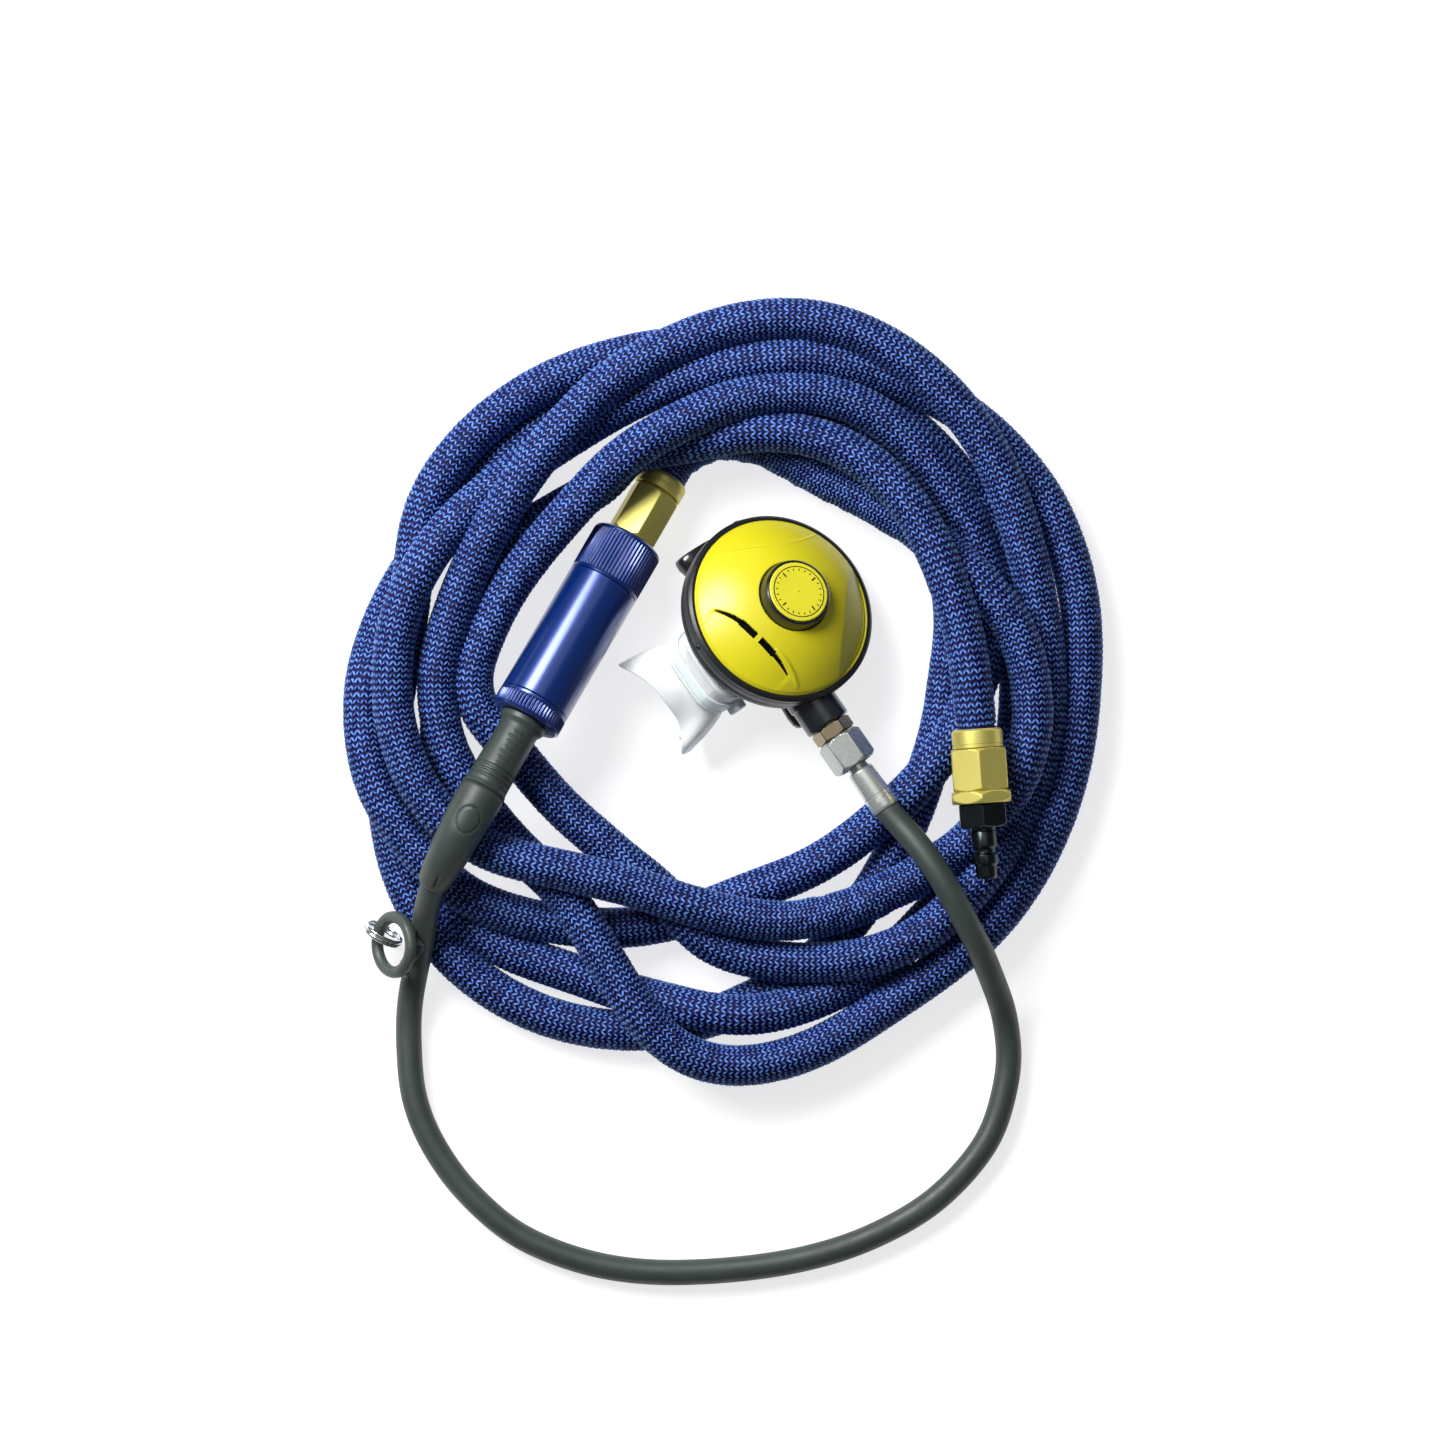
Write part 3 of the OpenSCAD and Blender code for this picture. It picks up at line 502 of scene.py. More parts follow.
# ---------------------------------------------------------------- supply hose
# Its centreline from the far collar to the near one, every centimetre, in tenths of a
# millimetre from the coil's centre: seven turns that lie on and beside each other.
COIL = """
1072,-157,435 1063,-56,444 1051,46,449 1037,150,446 1017,254,436 989,356,430 953,454,424 918,548,424 879,640,409 831,728,393 775,811,381 711,887,368
636,953,356 552,1008,345 462,1052,334 367,1083,324 269,1099,315 169,1102,306 69,1095,299 -30,1078,290 -126,1050,286 -219,1015,284 -310,974,294
-400,930,266 -489,884,246 -576,835,229 -663,786,217 -751,737,204 -836,686,191 -917,627,180 -987,557,169 -1044,475,159 -1089,386,149 -1125,292,140
-1151,196,132 -1171,98,124 -1186,-1,117 -1196,-100,111 -1202,-200,105 -1206,-299,100 -1215,-399,95 -1226,-498,92 -1228,-598,89 -1217,-697,85
-1192,-793,85 -1149,-884,85 -1091,-965,89 -1018,-1033,93 -933,-1084,99 -841,-1124,104 -747,-1157,111 -653,-1188,118 -558,-1221,126 -465,-1256,133
-369,-1285,140 -272,-1310,166 -175,-1332,205 -78,-1354,224 21,-1367,231 121,-1369,222 220,-1355,205 316,-1329,185 410,-1295,162 501,-1254,142
589,-1207,120 673,-1152,105 750,-1088,95 821,-1018,90 888,-944,87 953,-868,85 1012,-787,85 1065,-702,85 1112,-614,85 1154,-523,85 1188,-429,85
1216,-333,85 1238,-236,85 1253,-137,85 1260,-37,85 1262,63,85 1259,163,85 1252,263,85 1241,362,85 1223,460,85 1196,557,85 1161,651,85 1118,741,85
1067,827,85 1009,908,87 944,985,89 875,1057,91 801,1124,94 723,1187,98 641,1245,103 556,1297,107 467,1342,115 374,1380,130 279,1411,142 182,1434,150
83,1451,157 -17,1461,164 -117,1464,169 -217,1460,170 -316,1448,170 -414,1428,170 -511,1403,172 -606,1372,172 -699,1335,173 -789,1291,175 -874,1238,177
-955,1179,180 -1031,1114,184 -1100,1042,188 -1163,963,193 -1217,879,199 -1259,788,205 -1288,693,214 -1303,594,220 -1312,494,220 -1322,394,212
-1335,295,199 -1352,196,184 -1371,97,193 -1389,-1,109 -1405,-100,104 -1418,-200,93 -1428,-299,86 -1430,-400,85 -1422,-500,85 -1407,-599,85
-1387,-697,85 -1357,-792,85 -1317,-884,85 -1268,-972,85 -1210,-1053,85 -1143,-1127,85 -1069,-1195,85 -990,-1256,85 -904,-1308,85 -814,-1352,85
-720,-1387,85 -623,-1412,85 -524,-1429,85 -424,-1438,85 -324,-1437,85 -224,-1425,85 -126,-1403,85 -30,-1375,85 63,-1339,85 154,-1296,85 243,-1250,85
328,-1197,85 404,-1132,85 472,-1059,85 537,-982,85 598,-903,85 654,-820,85 704,-733,85 750,-644,85 792,-553,85 829,-460,85 861,-365,85 891,-270,85
919,-174,85 939,-75,85 952,24,85 966,123,85 979,222,85 983,322,85 975,422,85 955,520,85 924,615,85 885,707,85 838,795,85 783,879,85 721,957,85
653,1031,85 578,1097,85 496,1155,85 410,1206,85 321,1250,85 227,1286,85 131,1314,85 33,1332,85 -67,1342,85 -167,1342,85 -266,1334,85 -365,1318,85
-462,1294,85 -557,1261,85 -647,1217,85 -732,1165,85 -813,1106,85 -889,1042,85 -962,973,85 -1030,900,85 -1096,824,85 -1159,747,85 -1221,668,85
-1280,587,85 -1336,504,85 -1386,418,85 -1431,328,92 -1469,235,103 -1498,140,120 -1517,42,170 -1524,-58,184 -1521,-158,198 -1507,-257,211
-1484,-355,223 -1447,-447,231 -1397,-534,230 -1337,-614,227 -1274,-692,225 -1205,-764,230 -1129,-830,224 -1045,-883,204 -953,-922,183 -857,-952,165
-760,-974,148 -661,-991,130 -561,-1000,117 -461,-1003,111 -362,-997,103 -263,-981,98 -166,-957,85 -72,-923,100 21,-886,108 114,-849,117 208,-814,128
301,-778,139 391,-735,151 477,-683,163 559,-625,176 636,-562,190 713,-498,203 787,-431,222 854,-357,231 916,-279,230 973,-196,221 1020,-108,214
1059,-17,208 1095,77,202 1123,173,197 1137,271,194 1136,371,188 1122,470,190 1095,566,193 1061,659,204 1021,750,211 973,838,219 918,921,228
856,999,238 788,1071,248 712,1135,259 628,1188,271 537,1229,283 441,1257,296 342,1268,309 242,1267,324 143,1256,339 46,1232,354 -48,1200,372
-139,1160,384 -228,1114,395 -315,1065,411 -397,1010,410 -474,946,394 -544,875,384 -609,800,370 -676,726,354 -742,651,340 -805,574,327 -865,494,314
-919,411,302 -967,323,290 -1008,232,280 -1044,139,269 -1061,42,260 -1041,-55,251 -986,-138,243 -921,-213,235 -854,-288,231 -791,-365,227 -726,-440,223
-656,-511,220 -582,-578,218 -505,-642,216 -430,-708,215 -351,-769,215 -274,-832,213 -206,-905,217 -144,-984,227 -71,-1051,223 18,-1097,224
114,-1124,226 213,-1140,229 312,-1147,232 412,-1147,236 512,-1139,241 610,-1122,246 706,-1094,245 797,-1054,240 882,-1000,233 958,-936,226
1029,-865,220 1094,-789,214 1153,-708,189 1206,-624,162 1253,-536,151 1293,-444,151 1325,-349,164 1349,-252,171 1365,-153,176 1374,-54,178 1376,46,183
1370,146,188 1358,245,194 1343,344,201 1325,443,208 1303,540,216 1278,637,224 1249,733,233 1217,827,243 1180,920,254 1135,1010,264 1082,1094,277
1022,1175,288 957,1251,297 887,1322,302 811,1387,303 729,1444,304 642,1493,302 550,1533,302 454,1562,303 356,1578,304 256,1583,306 156,1576,309
57,1559,312 -39,1532,316 -134,1499,320 -226,1459,325 -315,1415,331 -402,1364,338 -484,1307,345 -559,1241,353 -629,1169,362 -695,1093,369 -758,1016,373
-818,936,375 -875,853,372 -930,769,365 -982,684,350 -1031,596,337 -1073,505,325 -1111,412,314 -1146,319,303 -1177,223,293 -1199,126,284 -1208,26,275
-1202,-74,267 -1184,-173,259 -1151,-267,252 -1105,-356,246 -1050,-440,241 -990,-521,236 -927,-599,232 -858,-672,225 -786,-741,226 -713,-810,238
-646,-885,247 -592,-969,261 -541,-1055,263 -490,-1141,268 -438,-1227,276 -385,-1312,284 -326,-1393,276 -257,-1465,255 -176,-1524,242 -84,-1564,230
14,-1583,218 114,-1583,206 213,-1568,195 310,-1542,185 403,-1505,176 492,-1459,167 578,-1407,159 661,-1352,152 745,-1297,145 828,-1242,140
910,-1184,134 990,-1124,130 1067,-1059,126 1138,-989,123 1203,-912,121 1261,-831,119 1313,-745,118 1360,-657,118 1401,-565,118 1436,-471,119
1464,-375,121 1487,-278,123 1504,-179,131 1516,-79,122 1524,20,120 1529,121,117 1529,221,116 1523,321,114 1510,420,114 1489,519,114 1460,615,115
1424,708,116 1380,798,119 1326,883,121 1264,963,125 1197,1037,129 1124,1107,134 1046,1169,139 961,1223,148 872,1269,163 780,1310,180 687,1346,202
591,1376,228 493,1397,249 393,1410,272 293,1414,287 193,1406,293 94,1393,291 -4,1373,281 -101,1347,270 -196,1316,261 -290,1279,253 -381,1237,245
-470,1191,239 -556,1139,231 -641,1086,227 -726,1032,225 -809,977,228 -892,920,236 -973,861,249 -1050,797,269 -1123,728,296 -1189,653,319 -1247,571,351
-1297,484,364 -1337,392,357 -1367,297,352 -1387,199,349 -1397,99,347 -1398,-1,345 -1388,-101,344 -1366,-198,344 -1335,-293,344 -1293,-384,345
-1238,-468,347 -1172,-543,349 -1095,-607,349 -1010,-659,357 -917,-696,363 -820,-720,372 -722,-740,372 -624,-763,365 -527,-787,363 -430,-810,360
-334,-839,358 -239,-870,358 -143,-899,360 -47,-926,337 51,-948,325 150,-964,312 249,-970,300 349,-964,288 447,-945,277 542,-914,267 635,-876,258
725,-833,249 814,-786,241 900,-735,233 981,-677,226 1057,-612,222 1128,-541,206 1192,-464,214 1245,-379,264 1283,-287,299 1306,-190,310 1313,-90,312
1307,10,312 1291,109,315 1264,205,319 1222,295,322 1164,377,332 1098,452,331 1027,522,312 952,589,277 875,653,258 793,710,238 707,762,218 620,811,199
531,857,180 433,905,162 298,983,145 149,1050,129 11,1076,109 -103,1053,96 -187,989,107 -244,906,130
"""
coil = np.array([[float(c) for c in q.split(",")] for q in COIL.split()]) / 10.0 + BASE
coil = soften(even(spline(coil, 1.0), 1.0), 5.0, 1.0)
# the turn beside the near collar lies just clear of it
_gap = np.linalg.norm((coil - np.array([-20.5, 75.3, 29.0])) * [1, 1, 1.6], axis=1)
coil = coil + np.where(np.arange(len(coil)) < 600, np.exp(-(_gap / 16.0) ** 2), 0.0)[:, None] * np.array([-6.2, 3.6, -6.0])
coil_s = arc(coil)
COIL_LENGTH = coil_s[-1]


def bell(x, a, b, soft):
    return sm(a - soft, a + soft, x) * (1 - sm(b - soft, b + soft, x))


# rows are wider near the far collar, and bunched up near the near one and by the lowest turns
end = COIL_LENGTH
pitch = 2.55 + 0.22 * (1 - sm(120, 300, coil_s)) - 0.7 * bell(coil_s, end - 150, end + 50, 25) - 0.45 * bell(coil_s, end - 385, end - 285, 25)
pitch = pitch + 0.12 * noise_field(coil_s / 60.0, coil_s * 0 + 0.5, 3)
phase = np.r_[0, np.cumsum(np.diff(coil_s) * 2 / (pitch[1:] + pitch[:-1]))]
bunch = bell(coil_s, end - 150, end + 50, 25) + 0.7 * bell(coil_s, end - 385, end - 285, 25)
PER_ROW, COLS = 4, 32
rows = int(phase[-1] * PER_ROW)
ph = np.arange(rows + 1) / PER_ROW
at = np.interp(ph, phase, coil_s)
cp = np.stack([np.interp(at, coil_s, coil[:, k]) for k in range(3)], 1)
t_, s_, u_ = frames_of(coil)
ct, cs, cu = (np.stack([np.interp(at, coil_s, f[:, k]) for k in range(3)], 1) for f in (t_, s_, u_))
cb, cpitch = np.interp(at, coil_s, bunch), np.interp(at, coil_s, pitch)
k = np.arange(COLS)
th = (k / COLS * 2 * np.pi)[None, :] + 0.35 * np.sin(at / 190.0)[:, None] + 0.2 * np.sin(at / 71.0 + 1)[:, None]
ridge = np.array([0.55, 0.08, -0.82, 0.08])[np.arange(rows + 1) % PER_ROW][:, None]
jitter = RNG.uniform(-0.09, 0.09, (rows + 1, COLS))
wrinkle = cb[:, None] * 0.8 * noise_field(at[:, None] / 4.6 + 3 * np.cos(th), np.sin(th) * 2.2 + at[:, None] / 31.0 + 9, 5)
swell = 0.14 * noise_field(at[:, None] / 23.0 + 0 * th, 1.6 * np.cos(th) + 7, 8)
rad = 8.2 + ridge + jitter + wrinkle + swell
lean = np.where(k % 2 == 0, 0.84, -0.84)[None, :] * cpitch[:, None] / 2.55
lean = lean + cb[:, None] * 0.5 * noise_field(at[:, None] / 7.0, 3 * np.cos(th) + 5, 12)
lean = lean * sm(0, 6, at)[:, None] * (1 - sm(end - 6, end, at))[:, None]
rings = cp[:, None] + ct[:, None] * lean[..., None] + cs[:, None] * (rad * np.cos(th))[..., None] + cu[:, None] * (rad * np.sin(th))[..., None]
supply = skin("supply_hose", rings, [knit.m], u=16.0, v=ph, ends="cap")
ride(supply, "hose_set", "blue_textile", "hose_coil", "hose_lead_near", "hose_lead_far")

# ---------------------------------------------------------------- low-pressure hose
LP = [[77.5, -58.5, 36.2], [86, -69, 39.5], [93, -79.5, 41], [99, -90, 40], [104.5, -100.5, 36.8], [109, -109, 32],
      [112, -116, 27.2], [116, -126, 18.5], [119, -134, 12.5], [121, -145, 7.2], [122, -156, 5.7], [120, -169, 5.6],
      [117, -181, 5.6], [112, -192, 5.6], [104.5, -202, 5.6], [95, -212, 5.6], [85, -220, 5.6], [71, -228, 5.6],
      [56.5, -234.5, 5.6], [40.5, -239.5, 5.6], [24, -243, 5.6], [-2, -246, 5.6], [-31, -246.5, 5.6], [-45.5, -245, 5.6],
      [-59.5, -242, 5.6], [-71.5, -238, 5.6], [-83, -233, 5.6], [-94, -226, 5.6], [-104, -217, 5.6], [-113, -207.5, 5.6],
      [-120, -197.5, 5.6], [-125, -189, 5.6], [-129, -179.5, 5.6], [-132, -168.5, 5.6], [-133, -156, 5.6], [-133.5, -145, 5.8],
      [-133, -133, 7.4], [-131.5, -124, 10.4], [-129.5, -115, 14.8], [-127.5, -106, 20.4], [-126, -97.5, 27], [-124.5, -89, 34]]
BOOT = [[-122, -81, 40.6], [-118, -73, 46.1], [-114, -65.5, 49.8], [-110, -58, 51.9], [-106, -50.8, 52.2]]
lp_start = stage([94.8, -5.8, -14])
lp_pts = np.vstack([[lp_start, stage([97.5, -5.8, -14])], BASE + np.array(LP), BASE + np.array(BOOT),
                    [house([0, 0, -s]) for s in (38, 36, 25, 12, 0)]])
lp = soften(even(spline(lp_pts, 1.0), 1.0), 6.0, 1.0)
lp_s = arc(lp)
cut = lp_s >= 0
lt, ls, lu = frames_of(lp)
n = 40
th = np.arange(n) * 2 * np.pi / n
rad = 5.46 + 0.05 * noise_field(lp_s[:, None] / 30.0, 1.5 * np.cos(th)[None] + 3, 21)
ringl = lp[:, None] + ls[:, None] * (rad * np.cos(th))[..., None] + lu[:, None] * (rad * np.sin(th))[..., None]
lp_hose = skin("lp_hose_run", ringl, [hose_rubber.m], u=34.0, v=lp_s, ends="cap")
ride(lp_hose, "hose_set", "hose_rubber", "lp_hose")


# ---------------------------------------------------------------- more mesh helpers
def near_line(pts, x, y):
    """distance to a smooth line through pts, how far left of it, and the nearest point's share and x"""
    l = even(spline([(a, b, 0.0) for a, b in pts], 0.5), 0.5)[:, :2]
    t = np.gradient(l, axis=0)
    t /= np.linalg.norm(t, axis=1)[:, None]
    d2 = (x[..., None] - l[:, 0]) ** 2 + (y[..., None] - l[:, 1]) ** 2
    k = d2.argmin(-1)
    dx, dy = x - l[k, 0], y - l[k, 1]
    side = t[k, 0] * dy - t[k, 1] * dx
    ahead = t[k, 0] * dx + t[k, 1] * dy
    inner = (k > 0) & (k < len(l) - 1)
    return np.where(inner, np.abs(side), np.sqrt(d2.min(-1))), side, (k + np.where(inner, ahead / 0.5, 0.0)) / (len(l) - 1), l[k, 0] + t[k, 0] * np.where(inner, ahead, 0.0)


def stadium_ring(r, c, th):
    """a stadium's outline by angle: two half circles of radius r, 2 c apart"""
    push = np.clip(np.cos(th) * 3.0, -1, 1)
    return np.stack([c * push + r * np.cos(th), r * np.sin(th)], -1)


def loft(name, outline, mats, place, ends="loop", sharp=35):
    o = skin(name, place(outline), mats, u=100.0, sharp=sharp, ends=ends)
    fix_normals(o)
    return o


def block(name, lo, hi, mats, place, bevel=0.6, segs=3, bulge=0.0):
    """a box with rounded edges and slightly crowned faces"""
    import bmesh
    lo, hi = np.array(lo, float), np.array(hi, float)
    mid, half = (lo + hi) / 2, (hi - lo) / 2
    bm = bmesh.new()
    bmesh.ops.create_cube(bm, size=2.0)
    for v in bm.verts:
        v.co = Vector((np.array(v.co) * half).tolist())
    bmesh.ops.bevel(bm, geom=list(bm.edges), offset=bevel, segments=segs, profile=0.5, affect="EDGES")
    bmesh.ops.subdivide_edges(bm, edges=[e for e in bm.edges if e.calc_length() > 2.5 * bevel], cuts=3, use_grid_fill=True)
    bmesh.ops.triangulate(bm, faces=[f for f in bm.faces if len(f.verts) > 4])
    co = np.array([list(v.co) for v in bm.verts])
    q = co / half
    co = co * (1 + bulge * (1 - np.sort(np.abs(q), axis=1)[:, 1:2] ** 2))
    faces = [tuple(v.index for v in f.verts) for f in bm.faces]
    bm.free()
    w = place(co + mid)
    uv = [[float(co[i, 0] + co[i, 2]), float(co[i, 1] + co[i, 2])] for f in faces for i in f]
    o = make(name, w, faces, uv, mats, sharp=50)
    fix_normals(o)
    return o


def hexbar(name, af, z0, z1, bore, mats, place, turn=30.0, chamfer=1.0, groove=()):
    """a turned hexagon with a bore; groove lists (z, width, depth) of rings cut round it"""
    rc = af / math.sqrt(3)
    prof = [(z0, bore), (z0, af / 2 - 0.35)]
    prof += [(z0 + chamfer * f, af / 2 - 0.25 + (rc - af / 2 + 0.3) * f) for f in (0.0, 0.2, 0.4, 0.6, 0.8, 1.0)]
    for z, w, d in groove:
        prof += [(z - w / 2 - 0.15, rc + 0.05), (z - w / 2, af / 2 - d), (z + w / 2, af / 2 - d), (z + w / 2 + 0.15, rc + 0.05)]
    prof += [(z1 - chamfer * f, af / 2 - 0.25 + (rc - af / 2 + 0.3) * f) for f in (1.0, 0.8, 0.6, 0.4, 0.2, 0.0)]
    prof += [(z1, af / 2 - 0.35), (z1, bore)]
    return lathe(name, prof, mats, place, n=288, shape=hexed(af, turn, 0.12), sharp=20)


def knurl(n, depth, z0, z1, r0):
    def f(th, z, r):
        teeth = (0.5 - 0.5 * np.cos(n * th)) ** 0.8
        span = sm(z0, z0 + 0.45, z) * (1 - sm(z1 - 0.45, z1, z))
        return r - np.where(r > r0, depth * teeth * span, 0.0)
    return f


def steps(z0, z1, r):
    """the points that a knurl between z0 and z1 needs"""
    return [(z0, r), (z0 + 0.15, r), (z0 + 0.3, r), (z0 + 0.45, r), (z0 * 0.5 + z1 * 0.5, r), (z1 - 0.45, r), (z1 - 0.3, r), (z1 - 0.15, r), (z1, r)]


# ---------------------------------------------------------------- cover of the demand valve
R_DOME, RISE, R_COVER, R_HOLE = 56.02, 16.0, 39.2, 15.6
CREASE = [(-35.5, -19), (-33.5, -13.4), (-24, 5.4), (-20, 19.1), (-18.8, 34.5), (-19.3, 40)]
FACET = [(-1.5, 50), (2.1, 40.1), (10, 25.6), (18.7, 17.3), (27.9, 9.8), (36.4, 4.7), (44, 1)]
GROOVE = [(-15.5, -31.2), (-9.6, -28.1), (-4, -25.9), (1.3, -24.7), (5.3, -23.8), (7.7, -23.1), (11.7, -22.1), (16.7, -20.9), (22.6, -19.8), (28.6, -18.9)]
LIP = [(14.5, -20.2), (16.9, -19.3), (25.5, -17.4), (33.2, -17.0)]


def relief(x, y):
    r = np.hypot(x, y)
    fade = 1 - sm(37.4, 39.1, r)
    a, side, f, _ = near_line(CREASE, x, y)
    d = -0.8 * sm(-0.15, 0.55, side) * np.exp(-np.clip(side, 0, None) / 16) * sm(0.02, 0.55, f) * fade
    d += 0.26 * np.exp(-((side + 0.35) / 0.5) ** 2) * sm(0.05, 0.5, f) * fade
    a, side, f, _ = near_line(FACET, x, y)
    d -= 2.1 * np.tanh(np.where(side > -1.2, np.sqrt(np.clip(side + 1.2, 0, None) ** 2 + 1.0) - 1.0, 0) * 0.15) * (1 - 0.75 * sm(38.2, 39.2, r))
    a, side, f, lx = near_line(GROOVE, x, y)
    taper = np.sin(np.pi * np.clip(f, 0, 1)) ** 0.75
    inside = np.minimum(sm(0.0, 0.06, f), 1 - sm(0.94, 1.0, f))
    slot = ((lx > -3.0) & (lx < 5.35)) | ((lx > 7.75) & (lx < 15.9))
    rib = (lx >= 5.35) & (lx <= 7.75)
    depth = np.where(slot, 1.8, np.where(rib, 0.06, 1.3 * taper + 0.12))
    wide = np.where(slot, 1.2, 0.22 + 0.75 * taper)
    d -= depth * inside * (1 - sm(wide * 0.86, wide * 1.06 + 0.06, a))
    d -= 0.42 * sm(0.2, 1.1, -side) * np.exp(-np.clip(-side - 1, 0, None) / 7.0) * inside * fade
    a, side, f, _ = near_line(LIP, x, y)
    d += 0.8 * np.exp(-(a / 0.95) ** 2) * np.sin(np.pi * np.clip(f, 0, 1)) ** 0.5 * fade
    d -= 0.55 * sm(37.7, 39.2, r) ** 2
    d -= 0.3 * (1 - sm(15.6, 16.1, r)) ** 2
    return d


n = 1000
th = np.arange(n) * 2 * math.pi / n
r_out = np.r_[np.linspace(R_HOLE, 16.2, 5)[:-1], np.linspace(16.2, R_COVER, 176)]
x, y = r_out[:, None] * np.cos(th), r_out[:, None] * np.sin(th)
z = RISE - R_DOME + np.sqrt(R_DOME ** 2 - r_out ** 2)[:, None] + relief(x, y)
top = np.stack([x, y, z], -1)
side_z = [(-0.9, R_COVER), (-2.8, R_COVER), (-3.2, R_COVER - 0.4), (-3.2, 37.3), (-2.0, 37.2), (0.2, 37.2)]
side_z += [(RISE - R_DOME + math.sqrt((R_DOME - 2) ** 2 - r * r), r) for r in (37.0, 34.0, 30.0, 26.0, 21.0)]
side_z += [(RISE - R_DOME + math.sqrt((R_DOME - 2) ** 2 - R_HOLE ** 2) - 1.6, R_HOLE + 0.2)]
low = np.array([[[r * math.cos(t), r * math.sin(t), zz] for t in th] for zz, r in side_z])
rings = np.concatenate([top, low])
depth = -(relief(x, y))
# faces deep in the cover's slots and groove get the near-black painted shade in place of a cut through the cover
painted_shade_faces = np.zeros((len(rings), n), bool)
dd = depth
painted_shade_faces[:len(r_out) - 1] = (dd[:-1] + dd[1:] + np.roll(dd, -1, 1)[:-1] + np.roll(dd, -1, 1)[1:]) / 4 > 0.42
painted_shade_faces[:len(r_out) - 1] &= (r_out[:-1] < 34)[:, None] & (y[:-1] < -15)
cover = skin("cover_shell", stage(rings), [yellow.m, painted_slot_shade.m], u=240.0, sharp=40, ends="loop", index=painted_shade_faces.ravel().astype(int))
fix_normals(cover)
ride(cover, "second_stage", "yellow_plastic", "front_cover")

clamp = lathe("clamp_ring", [(-0.6, 39.45, 0.12), (-0.6, 40.5, 0.2), (-1.75, 41.7, 0.3), (-3.9, 41.7), (-4.15, 41.5), (-4.4, 41.7), (-7.6, 41.7, 0.3), (-8.0, 41.3), (-8.0, 38.95), (-3.5, 38.95), (-3.5, 39.45)],
              [black_satin.m], stage, n=360)
ride(clamp, "second_stage", "black_plastic", "cover_ring")

case = lathe("case_shell", [(-24.5, 0.4), (-24.5, 22, 3.0), (-22.5, 29, 4.0), (-19, 35, 3.0), (-15, 39.5, 2.5), (-12.5, 41, 0.8), (-8.9, 41), (-8.3, 40.7), (-8.3, 38.8), (-4.25, 38.8), (-4.25, 36.6),
                            (-13, 36.6, 1.0), (-15, 35), (-18, 31, 2), (-20.5, 26, 2), (-22, 20, 2), (-22, 0.4)], [black_case.m], stage, n=240)
ride(case, "second_stage", "black_plastic", "case_body")
neck = lathe("case_neck", [(32, 7.7), (32, 10.6), (39.6, 10.6, 0.4), (40.2, 10.0, 0.3), (50.9, 10.0, 0.5), (51.7, 9.3, 0.3), (51.7, 7.7)], [black_gloss.m], inlet, n=128)
ride(neck, "second_stage", "black_plastic")
th64 = np.arange(96) * 2 * math.pi / 96
stub = loft("case_mouth_tube", np.array([np.c_[stadium_ring(r, 6, th64), np.full(96, zz)] for zz, r in
            [(-5.9, 7.6), (-6, 8.0), (-5.9, 9.2), (-5.5, 9.45), (11, 9.45), (11, 7.6)]]), [black_case.m], mouth)
ride(stub, "second_stage", "black_plastic")


# a screw in the clamp ring's wall and the catch opposite the inlet
def on_ring(angle, z0):
    a = math.radians(angle)
    out, up = np.array([math.cos(a), math.sin(a), 0]), np.array([0, 0, 1.0])
    along = np.cross(up, out)

    def f(p):
        p = np.asarray(p, float)
        return stage(p[..., :1] * along + p[..., 1:2] * up + p[..., 2:3] * out + np.array([0, 0, z0]))
    return f


screw = lathe("clamp_screw", [(40.6, 0.2), (40.6, 1.5), (41.75, 1.5, 0.12), (42.05, 1.25, 0.1), (42.05, 0.75), (41.5, 0.6), (41.5, 0.2)], [dark_steel.m], on_ring(-97.0, -5.6), n=36)
ride(screw, "second_stage", "black_plastic")
catch = block("clamp_catch", (-4.2, -5.2, 37.5), (4.2, 3.6, 43.6), [black_gloss.m], on_ring(163.0, -11.5), bevel=1.9, segs=5, bulge=0.04)
ride(catch, "second_stage", "black_plastic")

# ---------------------------------------------------------------- purge button
button = lathe("button_body", [(-2.3, 0.4), (-2.3, 4.5), (-1.8, 5, 0.2), (8.6, 5, 0.3), (8.6, 16.7), (8.9, 17), (10, 17), (10, 15.3), (13.6, 15.3), (18.75, 14.42, 0.25), (19.5, 13.75, 0.15), (19.5, 13.25, 0.1), (18.5, 13.2), (18.5, 0.4)],
               [black_gloss.m], stage, n=192)
ride(button, "purge_button", "black_plastic", "purge_button")
disc = lathe("label_disc", [(18.5, 0.3), (18.5, 13.1), (19.35, 13.1, 0.2), (19.62, 12.7, 0.4), (19.72, 11.0), (19.76, 8.0), (19.8, 4.0), (19.82, 0.3)], [label.m], stage, n=144)
ride(disc, "purge_button", "label_yellow", "purge_label_disc")
mark = lathe("label_ring", [(19.6, 11.0), (19.6, 11.45), (19.79, 11.42), (19.79, 11.03)], [ink.m], stage, n=144)
ride(mark, "purge_button", "label_yellow")
vs, fs = [], []
for i in range(24):
    a = math.radians(i * 15 + 7.5)
    r0, w = (8.2, 0.34) if i % 6 == 0 else (9.4, 0.2)
    for zz in (19.6, 19.84):
        for r, s in ((r0, -1), (10.3, -1), (10.3, 1), (r0, 1)):
            vs.append((r * math.cos(a) - s * w * math.sin(a), r * math.sin(a) + s * w * math.cos(a), zz))
    b = i * 8
    fs += [(b, b + 3, b + 2, b + 1), (b + 4, b + 5, b + 6, b + 7)] + [(b + j, b + (j + 1) % 4, b + 4 + (j + 1) % 4, b + 4 + j) for j in range(4)]
ticks = make("label_ticks", stage(np.array(vs)), fs, None, [ink.m], sharp=30)
ride(ticks, "purge_button", "label_yellow")

